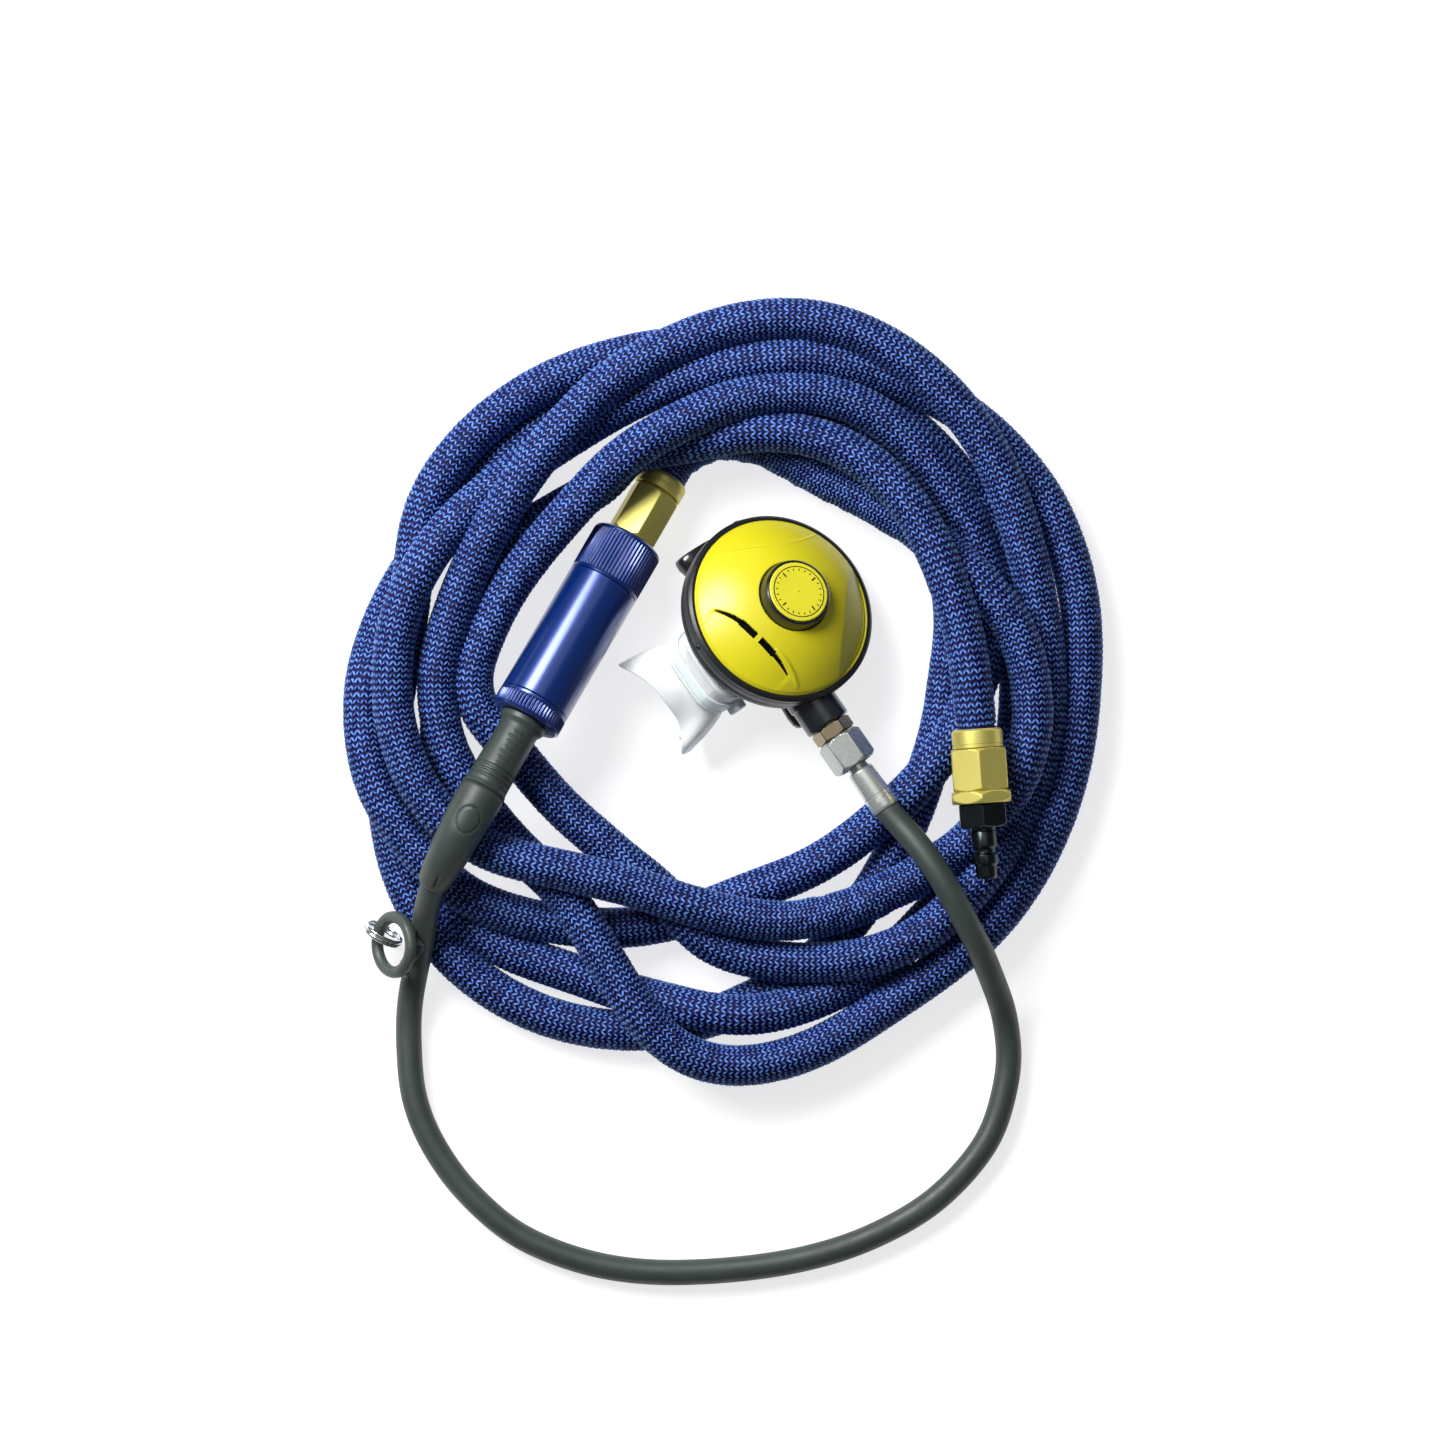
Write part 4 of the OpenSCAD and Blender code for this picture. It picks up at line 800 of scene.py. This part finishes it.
# ---------------------------------------------------------------- exhaust tee
def tee_ring(x0, hw, top, bot, mid=-1.0, n=72, k=2.6):
    a = np.arange(n) * 2 * math.pi / n
    c, s = np.cos(a), np.sin(a)
    yy = mid + hw * np.sign(c) * np.abs(c) ** (2 / k)
    zz = (top + bot) / 2 + (top - bot) / 2 * np.sign(s) * np.abs(s) ** (2 / k)
    return np.stack([np.full(n, x0), yy, zz], -1)


tee = []
for x0, hw, t_, b_ in [(-39.6, 3.0, -26.4, -30.9), (-41.0, 5.6, -24.6, -31.8), (-42.4, 7.2, -22.8, -32.5), (-43.0, 8.4, -21.6, -32.8), (-42.8, 9.4, -20.8, -32.9), (-41.8, 10.2, -20.2, -32.9), (-38.8, 10.4, -20.2, -32.9), (-33, 9.4, -22.2, -32.9),
                       (-24, 8.6, -24.0, -32.9), (-16, 9.2, -24.6, -32.9), (-8, 10.4, -24.8, -32.9), (2.5, 11.2, -24.8, -32.9), (13, 10.2, -24.8, -32.9), (22, 9.2, -24.9, -32.9), (32, 8.7, -25.0, -32.9),
                       (39, 9.0, -25.1, -32.9), (42.6, 8.6, -25.2, -32.8), (44.4, 7.6, -25.4, -32.7), (45.0, 6.6, -25.8, -32.4), (44.6, 6.0, -26.2, -32.0), (43.1, 5.6, -26.4, -31.8), (41.9, 3.4, -27.4, -30.8)]:
    tee.append(tee_ring(x0, hw, t_, b_, -1.0 - 1.9 * float(sm(18, 36, x0)) - 3.9 * float(sm(24, 38, -x0))))
tee_o = skin("exhaust_horns", stage(np.array(tee)), [black_gloss.m], u=60.0, sharp=40, ends="cap")
fix_normals(tee_o)
ride(tee_o, "second_stage", "black_plastic", "exhaust_tee")


def off_axis(p):
    return stage(np.asarray(p, float) + [2.5, -1, 0])


skirt = lathe("exhaust_skirt", [(-31.3, 12.0), (-32.4, 12.4), (-32.8, 13.2, 0.4), (-32.0, 15.0, 0.8), (-29, 15.8, 1.0), (-25.6, 15.8, 0.4), (-24.9, 15.3), (-24.9, 14.5), (-31.3, 14.5)], [black_case.m], off_axis, n=120)
ride(skirt, "second_stage", "black_plastic")

# ---------------------------------------------------------------- mouthpiece
def tilt_shield(p):
    return np.array([0, 0, -14.0]) + np.asarray(p, float) @ rx(-16).T


M = 176
th = np.arange(M) * 2 * math.pi / M
tube = stadium_ring(11.8, 6, th)


def tube_at(r, zz, c=6):
    return np.c_[stadium_ring(r, c, th), np.full(M, zz)]


def outline(scale=1.0):
    k = 0.54
    cx, sy = np.cos(th), np.sin(th)
    x = 23.5 * scale * np.sign(cx) * np.abs(cx) ** k
    y = -2.55 + 12.3 * scale * np.sign(sy) * np.abs(sy) ** (k * 1.1)
    return np.stack([x, y + 6.5 * np.exp(-((x - 14.0) / 9.0) ** 2) + 2.0 * np.exp(-((x + 15) / 7.0) ** 2) * (sy > 0) * np.abs(sy) ** 0.6], -1)


def on_shield(xy, radius):
    return tilt_shield(np.c_[xy, -37 + np.sqrt(np.clip(radius ** 2 - xy[:, 0] ** 2, 1, None))])


edge = on_shield(outline(0.995), 32.6)
start = tube_at(11.5, -5.4)
under = on_shield(np.c_[start[:, 0], start[:, 1]], 34.0)
ctrl = start + (edge - start) * np.array([0.7, 0.55, 0.22])
rings = [tube_at(9.6, 8.6), tube_at(11.3, 8.6), tube_at(11.85, 8.35), tube_at(12.3, 7.9), tube_at(12.35, 7.3), tube_at(11.95, 6.8), tube_at(11.75, 5.8), tube_at(11.75, 1.5), tube_at(11.75, -1.5), tube_at(11.8, -2.55), tube_at(12.5, -2.9), tube_at(12.75, -3.5),
         tube_at(12.5, -4.15), tube_at(11.75, -4.6), start]
for f in np.linspace(0, 1, 22)[1:]:
    rings.append((1 - f) ** 2 * start + 2 * f * (1 - f) * ctrl + f ** 2 * edge)
rings += [on_shield(outline(1.005), 32.3), on_shield(outline(1.008), 31.8), on_shield(outline(1.0), 31.4), on_shield(outline(0.985), 31.2)]
bore_in = stadium_ring(6.4, 7, th) @ np.diag([1.0, 1.0])
for f in np.linspace(0, 1, 16)[1:]:
    xy = outline(0.985) * (1 - f) + (bore_in + [0, 0]) * f
    rings.append(on_shield(xy, 31.2 - 0.4 * sm(0, 0.45, f)))
rings += [tube_at(6.4, -11.0, 7), tube_at(6.5, -8.0, 7), tube_at(8.3, -7.0), tube_at(8.5, -6.1), tube_at(9.55, -6.0), tube_at(9.6, 0.0)]
soft = mouth(np.array(rings))
soft[..., 2] = np.maximum(soft[..., 2], 0.2)                    # it lies on the floor
mp = skin("mouthpiece_soft", soft, [silicone.m], u=110.0, sharp=55, ends="loop")
fix_normals(mp)
ride(mp, "second_stage", "silicone_clear", "mouthpiece")
for s, name in ((-1, "bite_lug_left"), (1, "bite_lug_right")):
    lug = block(name, (s * 16.4 - 1.6, -4.2, -13.6), (s * 16.4 + 1.6, 4.2, -4.8), [silicone.m], lambda p: mouth(tilt_shield(p)), bevel=1.3, segs=5, bulge=0.05)
    ride(lug, "second_stage", "silicone_clear")

band = np.array([tube_at(r, zz) for zz, r in [(-2.2, 11.88), (-2.3, 12.2), (-2.3, 12.6), (-2.05, 12.85), (-1.5, 12.9), (-0.6, 12.85), (0.6, 12.85), (1.5, 12.9), (2.05, 12.85), (2.3, 12.6), (2.3, 12.2), (2.2, 11.88)]])
tie = skin("tie_band", mouth(band), [nylon.m], u=110.0, sharp=50, ends="loop")
fix_normals(tie)
ride(tie, "second_stage", "white_nylon", "mouthpiece_tie")
head = block("tie_head", (15.4, 0.9, -3.2), (22.0, 7.1, 3.2), [nylon.m], mouth, bevel=0.9, segs=4)
ride(head, "second_stage", "white_nylon")
tail = block("tie_tail", (17.6, 6.6, -2.0), (19.2, 10.2, 2.0), [nylon.m], mouth, bevel=0.5, segs=3)
ride(tail, "second_stage", "white_nylon")

# ---------------------------------------------------------------- inlet, swivel nut, ferrule
hexa = hexbar("inlet_hexagon", 16, 51.9, 57.8, 4.1, [tan_metal.m], inlet, chamfer=0.9)
ride(hexa, "second_stage", "plain_steel", "inlet_fitting")
shank = lathe("inlet_shank", [(38.2, 2.0), (38.2, 7.5), (52.2, 7.5), (52.2, 7.05), (65.6, 7.05, 0.4), (66, 6.6), (66, 4.1), (57, 4.1), (57, 2.0)], [tan_metal.m], inlet, n=96)
ride(shank, "second_stage", "plain_steel")
nut = hexbar("swivel_nut_body", 17.5, 58.1, 72.4, 7.15, [brushed.m], inlet, chamfer=1.5)
ride(nut, "swivel_nut", "chrome", "swivel_nut")
crimp = lathe("crimp_ferrule", [(74.8, 4.1), (74.8, 4.9), (75.1, 5.4, 0.3), (75.8, 5.75, 0.4), (84, 6.0), (87.4, 6.12), (87.6, 5.95), (88.1, 5.95), (88.3, 6.2), (89.9, 6.25), (90.1, 6.0), (90.6, 6.0), (90.8, 6.3), (93.6, 6.32, 0.4), (94.8, 5.95, 0.3), (94.8, 5.6), (76, 5.35), (76, 4.1)],
               [nickel.m], inlet, n=128)
ride(crimp, "hose_set", "nickel", "ferrule")

# ---------------------------------------------------------------- rubber boots on the hose
def boot_cut(th, z, r):
    """grip ribs, three by three, on the side that is held"""
    out = np.zeros_like(r)
    for z0 in (-31.0, -28.6, -26.2):
        w = np.abs(z - z0 - 0.45 * np.sin(th - 2.2))
        out = out + 0.55 * (1 - sm(0.35, 0.75, w)) * sm(-0.1, 0.35, np.cos(th - math.pi))
    across = r * ((th - math.pi + math.pi) % (2 * math.pi) - math.pi)
    for i in range(7):                                                       # short raised bars along the sleeve
        w = np.abs(z + 24.0 - 2.6 * i)
        out = out - 0.35 * (1 - sm(0.35, 0.7, w)) * (1 - sm(1.7 + (i % 3) * 0.5, 2.2 + (i % 3) * 0.5, np.abs(across - 0.3)))
    return np.where(r > 7, r - out, r)


zz = np.linspace(-34.3, -6.0, 96)
prof = [(-35.9, 5.75), (-35.9, 8.9, 0.3), (-35.4, 9.5), (-34.6, 9.85, 0.3)]
prof += [(z_, float(np.interp(z_, [-34.3, -33.4, -14, -6], [9.7, 9.35, 8.85, 8.7]))) for z_ in zz]
prof += [(-5.0, 8.8), (-4.2, 9.2), (-3.4, 9.85), (-2.6, 10.25, 0.4), (-0.6, 10.4, 0.3), (-0.35, 10.1), (-0.35, 5.75)]
boot_up = lathe("boot_sleeve_upper", prof, [boot_rubber.m], house, n=160, shape=boot_cut, sharp=50)
ride(boot_up, "hose_set", "boot_rubber", "boot_upper")

HOUSE_AX = R_HOUSE @ np.array([0, 0, 1.0])
route = [BASE + np.array(q, float) for q in [(-123, -84, 38.2), (-122, -81, 40.6), (-118, -73, 46.1), (-114, -65.5, 49.8), (-110, -58, 51.9), (-106, -50.8, 52.2)]]
route += [P_HOUSE - 38 * HOUSE_AX, P_HOUSE - 36.3 * HOUSE_AX]
cl = even(spline(route, 0.5), 0.5)
cl_s = arc(cl)
key_s = arc(np.array(route))
key_s = key_s / key_s[-1] * cl_s[-1]
rad = np.interp(cl_s, key_s, [6.4, 6.9, 8.2, 8.95, 9.4, 9.8, 10.0, 10.1])
cl, rad = cl[9:], rad[9:] - 0.15 * np.exp(-arc(cl[9:]) / 6.0)
cl_s = arc(cl)
bt, bs, bu = frames_of(cl)
L = cl_s[-1]
nb = 176
bth = np.arange(nb) * 2 * math.pi / nb
s2, a2 = cl_s[:, None] + 0 * bth, bth[None, :] + 0 * cl_s[:, None]
R2 = rad[:, None] + 0 * bth
up = sm(0.25, 0.75, np.sin(a2))
R2 += 0.5 * (1 - sm(0.25, 0.9, s2)) * 0 - 0.5 * (1 - sm(0.0, 1.0, s2))                          # rounded lower lip
over = R2 * (a2 - math.pi / 2)
R2 -= 0.7 * (1 - sm(2.4, 3.1, np.abs(s2 - 5.6))) * (1 - sm(0.45, 0.95, np.abs(over + 1.2)))        # a bar-shaped groove near the end
R2 -= 0.5 * np.exp(-((np.hypot(s2 - 33.5, over + 0.6) - 5.3) / 0.36) ** 2)                     # a plain circle cut in the top
R2 -= 0.5 * sm(L - 0.9, L, s2)
R2 += 0.06 * noise_field(s2 / 5.0, 2.5 * np.cos(a2) + 8, 21)
outer = cl[:, None] + R2[..., None] * (np.cos(a2)[..., None] * bs[:, None] + np.sin(a2)[..., None] * bu[:, None])
inner = (cl[:, None] + 5.85 * (np.cos(a2)[..., None] * bs[:, None] + np.sin(a2)[..., None] * bu[:, None]))[::-1][::6]
boot_low = skin("boot_sleeve_lower", np.concatenate([outer, inner]), [boot_rubber.m], u=60.0, sharp=50, ends="loop")
fix_normals(boot_low)
ride(boot_low, "hose_set", "boot_rubber", "boot_lower")

# ---------------------------------------------------------------- filter housing
ring_o = lathe("housing_ring", [(0, 6.3), (0, 14.6, 0.3), (0.9, 15.35, 0.2)] + steps(0.95, 6.7, 15.62) + [(6.95, 15.4), (7.15, 15.5), (8.2, 15.55, 0.1), (8.3, 15.4), (8.3, 13.2), (16, 13.2), (16, 6.3)],
               [anod.m], house, n=1200, shape=knurl(60, 0.6, 0.95, 6.7, 15.3), sharp=38)
ride(ring_o, "filter_ring", "blue_anodised", "filter_ring")
body_o = lathe("housing_tube", [(8.6, 13.35), (8.6, 15.25), (8.95, 15.55, 0.2), (38, 15.55), (67.65, 15.55, 0.2), (68, 15.25), (68, 13.35)], [anod.m], house, n=288)
ride(body_o, "hose_set", "blue_anodised", "filter_body")
cap_o = lathe("housing_cap", [(60.5, 11.1), (60.5, 13.2), (68.3, 13.2), (68.3, 15.3), (68.5, 15.5), (69.0, 15.5), (69.2, 15.38)] + steps(69.4, 88.3, 15.62) +
              [(88.5, 15.4), (88.75, 15.5, 0.2), (89.2, 15.4, 0.4), (90.3, 14.2, 0.3), (90.3, 12.6), (90.12, 12.45), (90.12, 12.15), (90.3, 12.0), (90.3, 7.05), (81, 7.05), (81, 11.1)],
              [anod.m], house, n=1200, shape=knurl(60, 0.6, 69.4, 88.3, 15.3), sharp=38)
ride(cap_o, "filter_cap", "blue_anodised", "filter_cap")
adapter = hexbar("adapter_hexagon", 19.5, 90.6, 114.4, 4.1, [brass.m], house, turn=40.0, chamfer=1.9)
ride(adapter, "near_adapter", "brass", "brass_adapter")
spigot = lathe("adapter_thread", [(82.6, 4.1), (82.6, 6.5)] + [(83.2 + 0.5 * i, 6.95 if i % 2 else 6.45) for i in range(15)] + [(91.2, 6.7), (91.2, 4.1)], [brass.m], house, n=96)
ride(spigot, "near_adapter", "brass")
near_c = lathe("collar_near", [(98, 2.5), (98, 3.9), (114.7, 3.9), (114.7, 10.2), (115.0, 10.6, 0.2), (117.2, 10.6), (117.4, 10.42), (117.8, 10.42), (118.0, 10.6), (120.4, 10.6, 0.5), (121.8, 9.9, 0.4), (121.8, 2.5)], [brass.m], house, n=160)
ride(near_c, "hose_set", "brass", "brass_collar")

# ---------------------------------------------------------------- far end
far_c = lathe("collar_far", [(0, 2.5), (0, 9.8), (0.5, 10.4, 0.3), (1.0, 10.8, 0.3), (6.2, 10.8), (6.4, 10.6), (6.8, 10.6), (7.0, 10.8), (7.8, 10.8), (8.0, 10.6), (8.0, 3.92), (24, 3.92), (24, 2.5)], [brass.m], far, n=160)
ride(far_c, "hose_set", "brass", "far_collar")
far_h = hexbar("coupling_hexagon", 22.9, 8.3, 26.1, 4.1, [brass.m], far, chamfer=1.3)
ride(far_h, "far_coupling", "brass", "far_hex")
far_n = hexbar("coupling_flange_nut", 24.8, 26.2, 31.4, 6.6, [brass.m], far, chamfer=1.9)
ride(far_n, "far_coupling", "brass", "far_flange_nut")
plug = hexbar("plug_hexagon", 19.5, 31.5, 41.6, 5.0, [dark_steel.m], far, chamfer=1.2)
ride(plug, "far_coupling", "dark_steel", "quick_connect_plug")
nose = lathe("plug_nose", [(24.6, 2.6), (24.6, 6.2), (25.0, 6.5), (32.2, 6.5), (32.2, 5.4), (41.6, 5.4), (42.4, 5.15, 0.1), (43.0, 5.15, 0.1), (43.6, 5.4), (49.6, 5.4, 0.3), (50.8, 4.3, 0.3), (52.4, 4.3, 0.3), (53.2, 5.4, 0.2), (56.8, 5.4, 0.3), (58, 4.5, 0.3), (62.2, 4.5, 0.3), (63.4, 3.9, 0.2), (63.4, 2.9), (62.9, 2.6)],
             [dark_steel.m], far, n=144)
ride(nose, "far_coupling", "dark_steel")

# ---------------------------------------------------------------- keeper ring and split ring
P_KEEP, P_LINK = BASE + [-139.1, -107, 23.2], BASE + [-144.3, -102.5, 12.5]
R_KEEP, R_LINK = ry(-52.5), rz(-30) @ rx(105)
n1, n2 = 192, 36
A, B = np.meshgrid(np.arange(n1) * 2 * math.pi / n1, np.arange(n2) * 2 * math.pi / n2, indexing="ij")
tube_r = 2.6 + 0.07 * noise_field(A * 6 / math.pi, np.cos(B) * 2 + 5, 31) - 0.12 * np.exp(-((np.abs(np.sin(B))) / 0.10) ** 2) * (np.cos(B) > 0)
big = 11.9 + 0.25 * np.cos(2 * A + 0.6)
p = np.stack([(big + tube_r * np.cos(B)) * np.cos(A), (big + tube_r * np.cos(B)) * np.sin(A), tube_r * np.sin(B)], -1)
keep = skin("keeper_loop", P_KEEP + p @ R_KEEP.T, [keeper_rubber.m], u=16.0, sharp=60, ends="loop")
fix_normals(keep)
ride(keep, "hose_set", "rubber_black", "keeper_ring")
q = np.linspace(0, 4 * math.pi * 0.985, 260)
lift = -0.86 + 1.72 * sm(2 * math.pi - 0.5, 2 * math.pi + 0.5, q)
c = np.stack([8.3 * np.cos(q), 8.3 * np.sin(q), lift], -1)
nb = 20
bb = np.arange(nb) * 2 * math.pi / nb
cut = np.sign(np.cos(bb)) * np.abs(np.cos(bb)) ** 0.7, np.sign(np.sin(bb)) * np.abs(np.sin(bb)) ** 0.7
p = c[:, None] + 0.93 * (cut[0][None, :, None] * np.stack([np.cos(q), np.sin(q), 0 * q], -1)[:, None]) + 0.83 * cut[1][None, :, None] * np.array([0, 0, 1.0])
for e, f in ((0, 0.5), (1, 0.85), (-2, 0.85), (-1, 0.5)):
    p[e] = c[e] + (p[e] - c[e]) * f
link = skin("split_ring_wire", P_LINK + p @ R_LINK.T, [chrome.m], u=6.0, sharp=50, ends="cap")
fix_normals(link)
ride(link, "split_ring", "chrome", "split_ring")


# the keeper's strap, a twisted band that holds the loop to the hose
at0 = float(lp_s[np.argmin(np.hypot(lp[:, 0] + 119.6, lp[:, 1] + 128.8))])
q = np.linspace(0, 1, 120)
turn = 1.95 + 0.4 * np.sin(2 * math.pi * q * 1.2)
along = at0 + 27.0 * (q - 0.5)
c0 = np.stack([np.interp(along, lp_s, lp[:, j]) for j in range(3)], 1)
t0, s0, u0 = frames_of(c0)
out = s0 * np.cos(turn)[:, None] + u0 * np.sin(turn)[:, None]
side = np.cross(t0, out)
way = np.gradient(c0 + 6.6 * out, axis=0)
way /= np.linalg.norm(way, axis=1)[:, None]
flat = np.cross(way, out)
wind = (2 * math.pi * 1.4 * q)[:, None]
flat, rise = flat * np.cos(wind) + out * np.sin(wind), out * np.cos(wind) - flat * np.sin(wind)
bb = np.arange(24) * 2 * math.pi / 24
sc, ss = np.sign(np.cos(bb)) * np.abs(np.cos(bb)) ** 0.75, np.sign(np.sin(bb)) * np.abs(np.sin(bb)) ** 0.75
size = np.clip(np.minimum(q, 1 - q) * 18, 0.35, 1)[:, None, None]
p = (c0 + (6.6 + 0.9 * np.abs(np.sin(wind))) * out)[:, None] + size * (2.1 * sc[None, :, None] * flat[:, None] + 0.95 * ss[None, :, None] * rise[:, None])
strap = skin("keeper_strap", p, [keeper_rubber.m], u=8.0, sharp=60, ends="cap")
fix_normals(strap)
ride(strap, "hose_set", "rubber_black")


(even(coil[::-1], 4.0) * 0.001).tolist()
(even(lp, 3.0) * 0.001).tolist()

# ---------------------------------------------------------------- floor and light
floor_mat = Mat("floor", (0.42, 0.42, 0.42), 0.9, 0.0)
floor_mat.set("Specular IOR Level", 0.0)
floor_mat.set("Emission Color", (1, 1, 1, 1))
floor_mat.set("Emission Strength", 0.74)
me = bpy.data.meshes.new("floor")
w = 3.0
me.from_pydata([(-w, -w, -0.0002), (w, -w, -0.0002), (w, w, -0.0002), (-w, w, -0.0002)], [], [(0, 1, 2, 3)])
me.materials.append(floor_mat.m)
floor = bpy.data.objects.new("floor", me)
SCENE.collection.objects.link(floor)


def lamp(name, azimuth, elevation, distance, size, power, colour=(1, 1, 1)):
    data = bpy.data.lights.new(name, "AREA")
    data.shape = "RECTANGLE"
    data.size, data.size_y = size
    data.energy = power
    data.color = colour
    o = bpy.data.objects.new(name, data)
    SCENE.collection.objects.link(o)
    a, e = math.radians(azimuth), math.radians(elevation)
    way = Vector((math.cos(a) * math.cos(e), math.sin(a) * math.cos(e), math.sin(e)))
    o.location = Vector((0.01, -0.03, 0.0)) + way * distance
    o.rotation_euler = way.to_track_quat("Z", "Y").to_euler()
    return o


lamp("key", 134, 47, 1.9, (1.2, 0.8), 58)
lamp("fill", 80, 72, 2.2, (1.4, 1.4), 4)
world = bpy.data.worlds.new("studio")
SCENE.world = world
world.use_nodes = True
world.node_tree.nodes["Background"].inputs[0].default_value = (1, 1, 1, 1)
world.node_tree.nodes["Background"].inputs[1].default_value = 0.11
SCENE.view_settings.view_transform = "Standard"
SCENE.view_settings.look = "None"

# ---------------------------------------------------------------- the rest of the CAD nodes
CARRIED = {
    "purge_guide": grey_plastic, "purge_spring": steel, "diaphragm": diaphragm_rubber, "diaphragm_disc": nickel,
    "demand_lever": steel, "valve_barrel": brass, "poppet": nylon, "poppet_spring": steel, "exhaust_valve": white_silicone,
    "hose_stem": nickel, "stem_o_ring": o_ring, "hose_end_fitting": brass, "ring_o_ring": o_ring, "felt_pads": felt,
    "filter_cartridge": carbon, "filter_spring": steel, "cap_o_ring": o_ring, "case_body": black_case,
    "front_cover": yellow, "cover_ring": black_gloss, "purge_button": black_gloss, "purge_label_disc": label,
    "inlet_fitting": tan_metal, "swivel_nut": brushed, "ferrule": nickel, "exhaust_tee": black_case, "mouthpiece": silicone,
    "mouthpiece_tie": nylon, "lp_hose": hose_rubber, "boot_lower": boot_rubber, "boot_upper": boot_rubber,
    "filter_ring": anod, "filter_body": anod, "filter_cap": anod, "brass_adapter": brass, "brass_collar": brass,
    "far_collar": brass, "far_hex": brass, "far_flange_nut": brass, "quick_connect_plug": dark_steel,
    "keeper_ring": keeper_rubber, "split_ring": chrome, "hose_coil": knit, "hose_lead_near": knit, "hose_lead_far": knit,
}
for node, m in CARRIED.items():
    o = NODES[node]
    o.data.materials.clear()
    o.data.materials.append(m.m)
